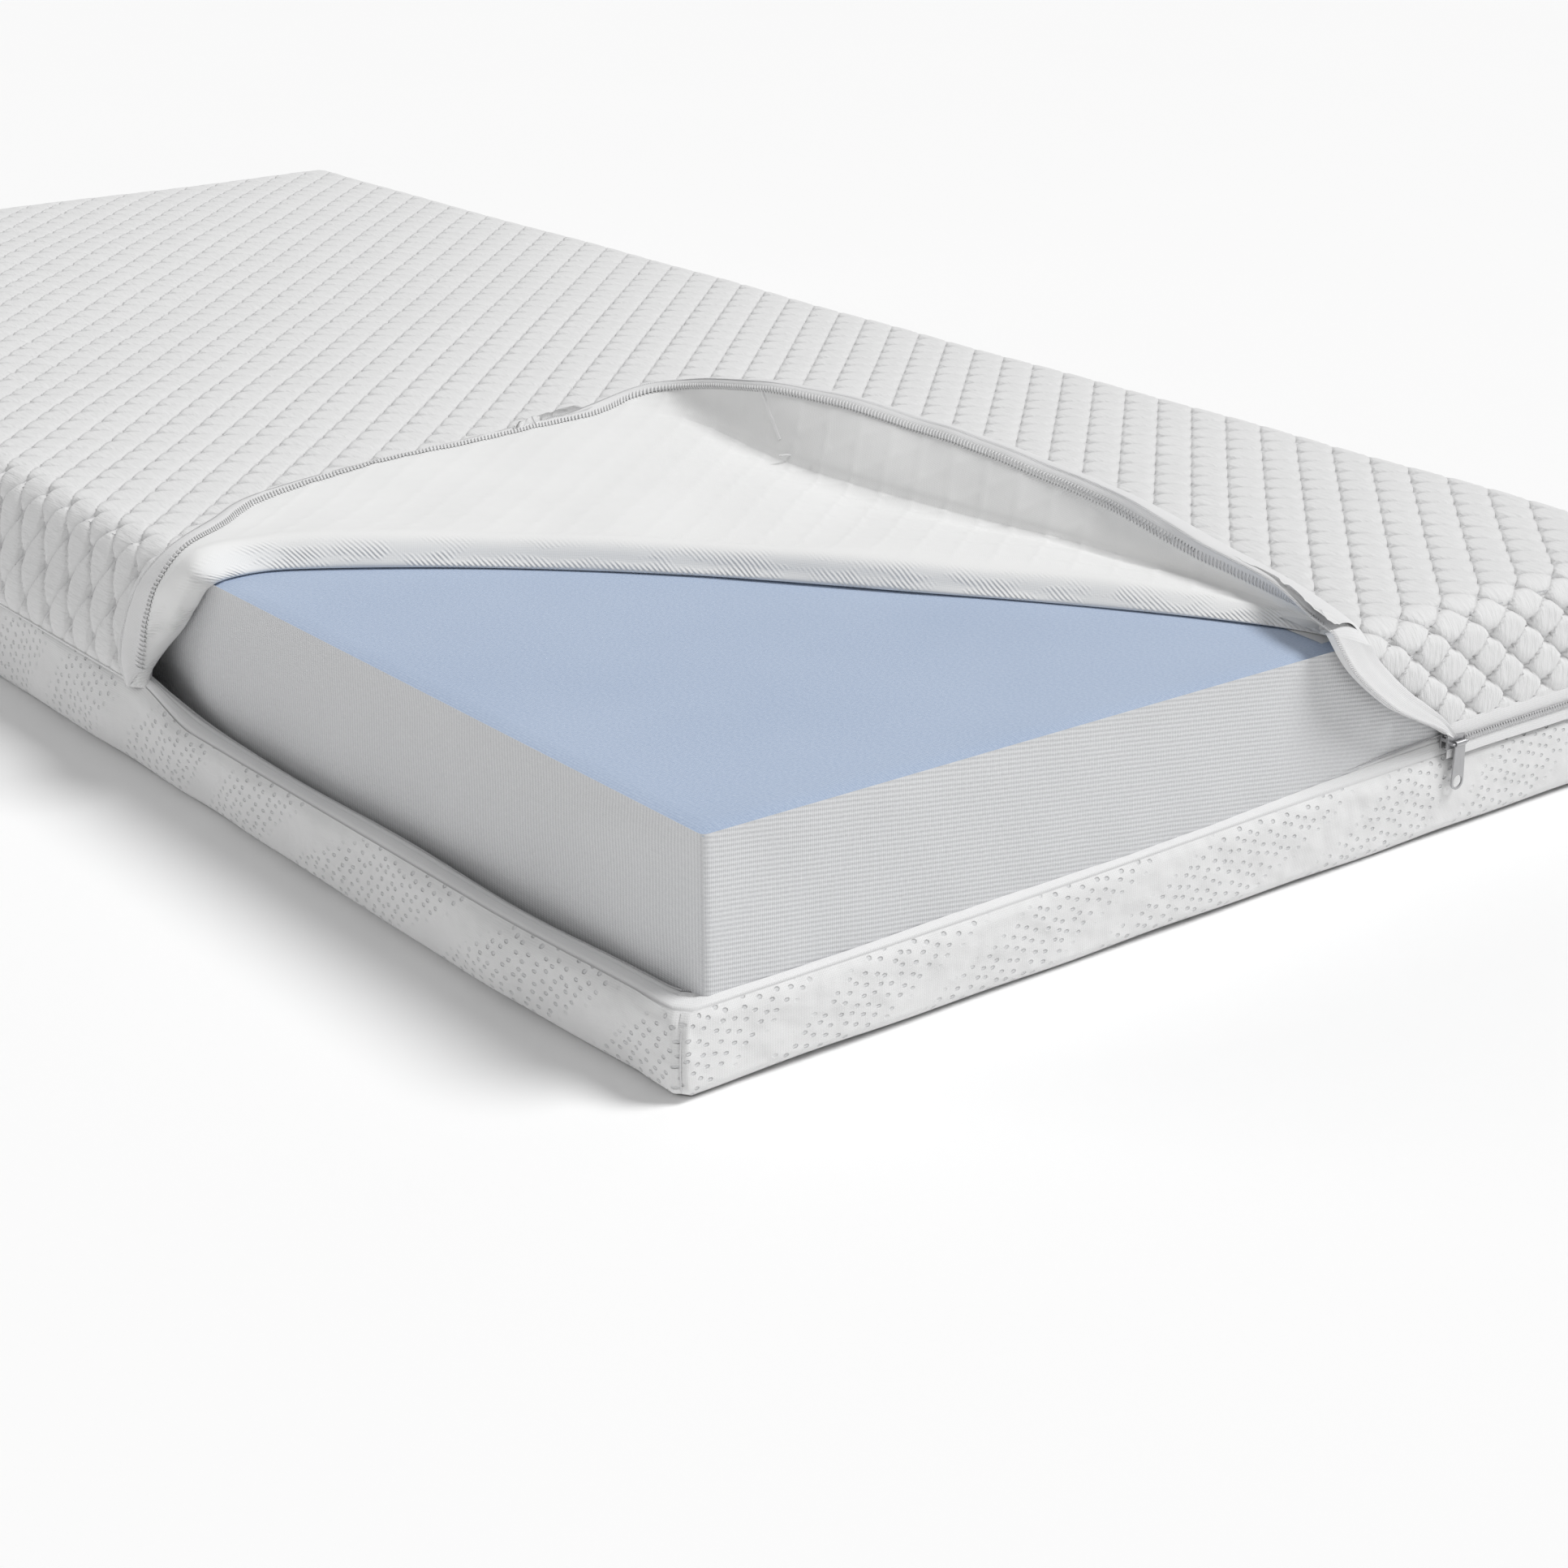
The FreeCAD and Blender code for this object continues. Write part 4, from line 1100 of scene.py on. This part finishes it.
# ---- seams of the fixed cover
corner_lines = []
for side_x, side_y, side in ((1, -1, "near"), (1, 1, "far"), (-1, -1, "near"), (-1, 1, "far")):
    column = borders[side][1][-1 if side_x > 0 else 0, 4:-3]
    corner_lines.append(even(column, 40) + np.array([side_x, side_y, 0]) * 0.0002)
border_seams = tubes("border_corner_stitches", corner_lines, 0.0005, M_COIL, 8)

cover_threads = []
spot = np.array([HALF_L, HALF_W]) - CORNER_R + (CORNER_R + SLACK) / math.sqrt(2)
for side_x, side_y in ((1, 1), (-1, -1), (-1, 1)):
    heights = np.arange(0.086, 0.136, 0.0042)
    at_corner = np.array([(side_x * spot[0], side_y * spot[1], z) for z in heights])
    outward_xy = np.array([side_x, side_y, 0]) / math.sqrt(2) * 0.0010
    across_xy = np.array([side_x, -side_y, 0]) / math.sqrt(2) * 0.0026
    cover_threads.append(np.stack([at_corner - across_xy, at_corner + outward_xy, at_corner + across_xy], 1))
cover_seams = tubes("cover_corner_stitches", np.concatenate(cover_threads), 0.0006, M_THREAD, 6)


def level_line(x, y, z):
    return np.column_stack(np.broadcast_arrays(x, y, z))


def closing_line(z, out):
    """The plain seam where there is no zip: near side, head end and far side, at one height."""
    middle_x, middle_y, reach = HALF_L - CORNER_R, HALF_W - CORNER_R, CORNER_R + SLACK + out
    near_x = np.arange(0.332, -middle_x, -0.006)
    near = level_line(near_x, -(HALF_W + near_bulge(near_x, z) + out), z)
    turn = np.linspace(0.08, math.pi / 2 - 0.08, 9)
    first = level_line(-(middle_x + reach * np.sin(turn)), -(middle_y + reach * np.cos(turn)), z)
    head = level_line(-(HALF_L + SLACK + out), np.arange(-middle_y, middle_y, 0.006), z)
    second = first[::-1] * (1, -1, 1)
    far = level_line(np.arange(-middle_x, ZIP_START - 0.01, 0.006), HALF_W + SLACK + out, z)
    return np.concatenate([near, first, head, second, far])


closing = tubes("closing_seam_piping", [closing_line(0.0707, -0.0006)], 0.0009, M_THREAD, 6)

# ---- metal parts stay as the CAD made them
for name in ("slider_body", "slider_bridge", "pull_tab", "zip_end_stops"):
    nodes[name].data.materials.clear()
    nodes[name].data.materials.append(M_METAL)

# ---- what each piece stands for; the fixed part's pieces ride on the root
ROOT_PIECES = [
    (base_foam, "foam_base", ["base_foam"]),
    (memory_foam, "foam_memory", ["memory_foam"]),
    (liner_top, "liner_blue", ["liner_top"]),
    (liner_bottom, "liner_grey", ["liner_bottom"]),
    (liner_sides, "liner_grey", ["liner_border"]),
    (borders["near"][0], "border_knit", ["border_left"]),
    (borders["far"][0], "border_knit", ["border_right"]),
    (borders["foot"][0], "border_knit", ["border_foot"]),
    (borders["head"][0], "border_knit", ["border_head"]),
    (bottom, "border_knit", ["bottom_panel"]),
    (border_seams, "seam_thread", ["border_corner_seams"]),
    (tape_lower, "zip_tape", ["lower_zip_tape"]),
    (tape_upper, "zip_tape", ["upper_zip_tape"]),
    (chain, "zip_coil", ["zip_chain"]),
    (open_coil, "zip_coil", ["open_zip_coil"]),
    (closing, "seam_thread", ["closing_seam"]),
    (cover_seams, "seam_thread", ["cover_corner_seams"]),
    (quilted, "quilt_knit", ["top_cover"]),
    (lining_fixed, "lining_cloth", ["cover_lining"]),
]
for piece, slot, stands_for in ROOT_PIECES:
    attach(piece, "root")
    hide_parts(*stands_for)

FLAP_PIECES = [
    (flap_quilt, "quilt_knit", ["cover_flap"]),
    (flap_inside, "lining_cloth", ["flap_lining"]),
    (band, "zip_tape", ["flap_zip_tape"]),
    (flap_coil, "zip_coil", ["flap_zip_coil"]),
    (overlock, "seam_thread", []),
    (flap_seam, "seam_thread", ["flap_corner_seam"]),
    (tick, "seam_thread", []),
]
for piece, slot, stands_for in FLAP_PIECES:
    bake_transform(piece)
    if stands_for:
        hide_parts(*stands_for)

# ---- floor, light and camera
bpy.ops.mesh.primitive_plane_add(size=30, location=(0, 0, -0.0002))
floor = bpy.context.active_object
floor.name = "studio_floor"
floor_material, tree, shader = start_material("studio_floor")
shader.inputs["Roughness"].default_value = 0.9
shader.inputs["Specular IOR Level"].default_value = 0.1
faint = noise(tree, place(tree, "Object"), 2.0)
tree.links.new(blend_colour(tree, faint, (0.98, 0.98, 0.98), (0.99, 0.99, 0.99)), shader.inputs["Base Color"])
floor.data.materials.append(floor_material)

world = bpy.data.worlds.new("studio")
world.use_nodes = True
world.node_tree.nodes["Background"].inputs["Color"].default_value = (1, 1, 1, 1)
world.node_tree.nodes["Background"].inputs["Strength"].default_value = 0.345
bpy.context.scene.world = world


def soft_sun(name, towards, strength, spread):
    data = bpy.data.lights.new(name, "SUN")
    data.energy = strength
    data.angle = spread
    lamp = bpy.data.objects.new(name, data)
    bpy.context.scene.collection.objects.link(lamp)
    lamp.rotation_mode = "QUATERNION"
    lamp.rotation_quaternion = (-Vector(towards)).to_track_quat("-Z", "Y")


soft_sun("key", (0.36, 0.47, 0.80), 2.30, 0.42)
soft_sun("fill", (-0.66, -0.70, 0.34), 0.44, 0.5)

camera_data = bpy.data.cameras.new("camera")
camera_data.sensor_width = 36
camera_data.lens = 66.88
camera = bpy.data.objects.new("camera", camera_data)
bpy.context.scene.collection.objects.link(camera)
azimuth, elevation = math.radians(52.22), math.radians(21.543)
level = math.cos(elevation)
looking = Vector((-math.sin(azimuth) * level, math.cos(azimuth) * level, -math.sin(elevation)))
camera.location = (2.1916, -1.3152, 0.7721)
camera.rotation_mode = "QUATERNION"
camera.rotation_quaternion = looking.to_track_quat("-Z", "Y")
bpy.context.scene.camera = camera
bpy.context.scene.view_settings.view_transform = "Standard"
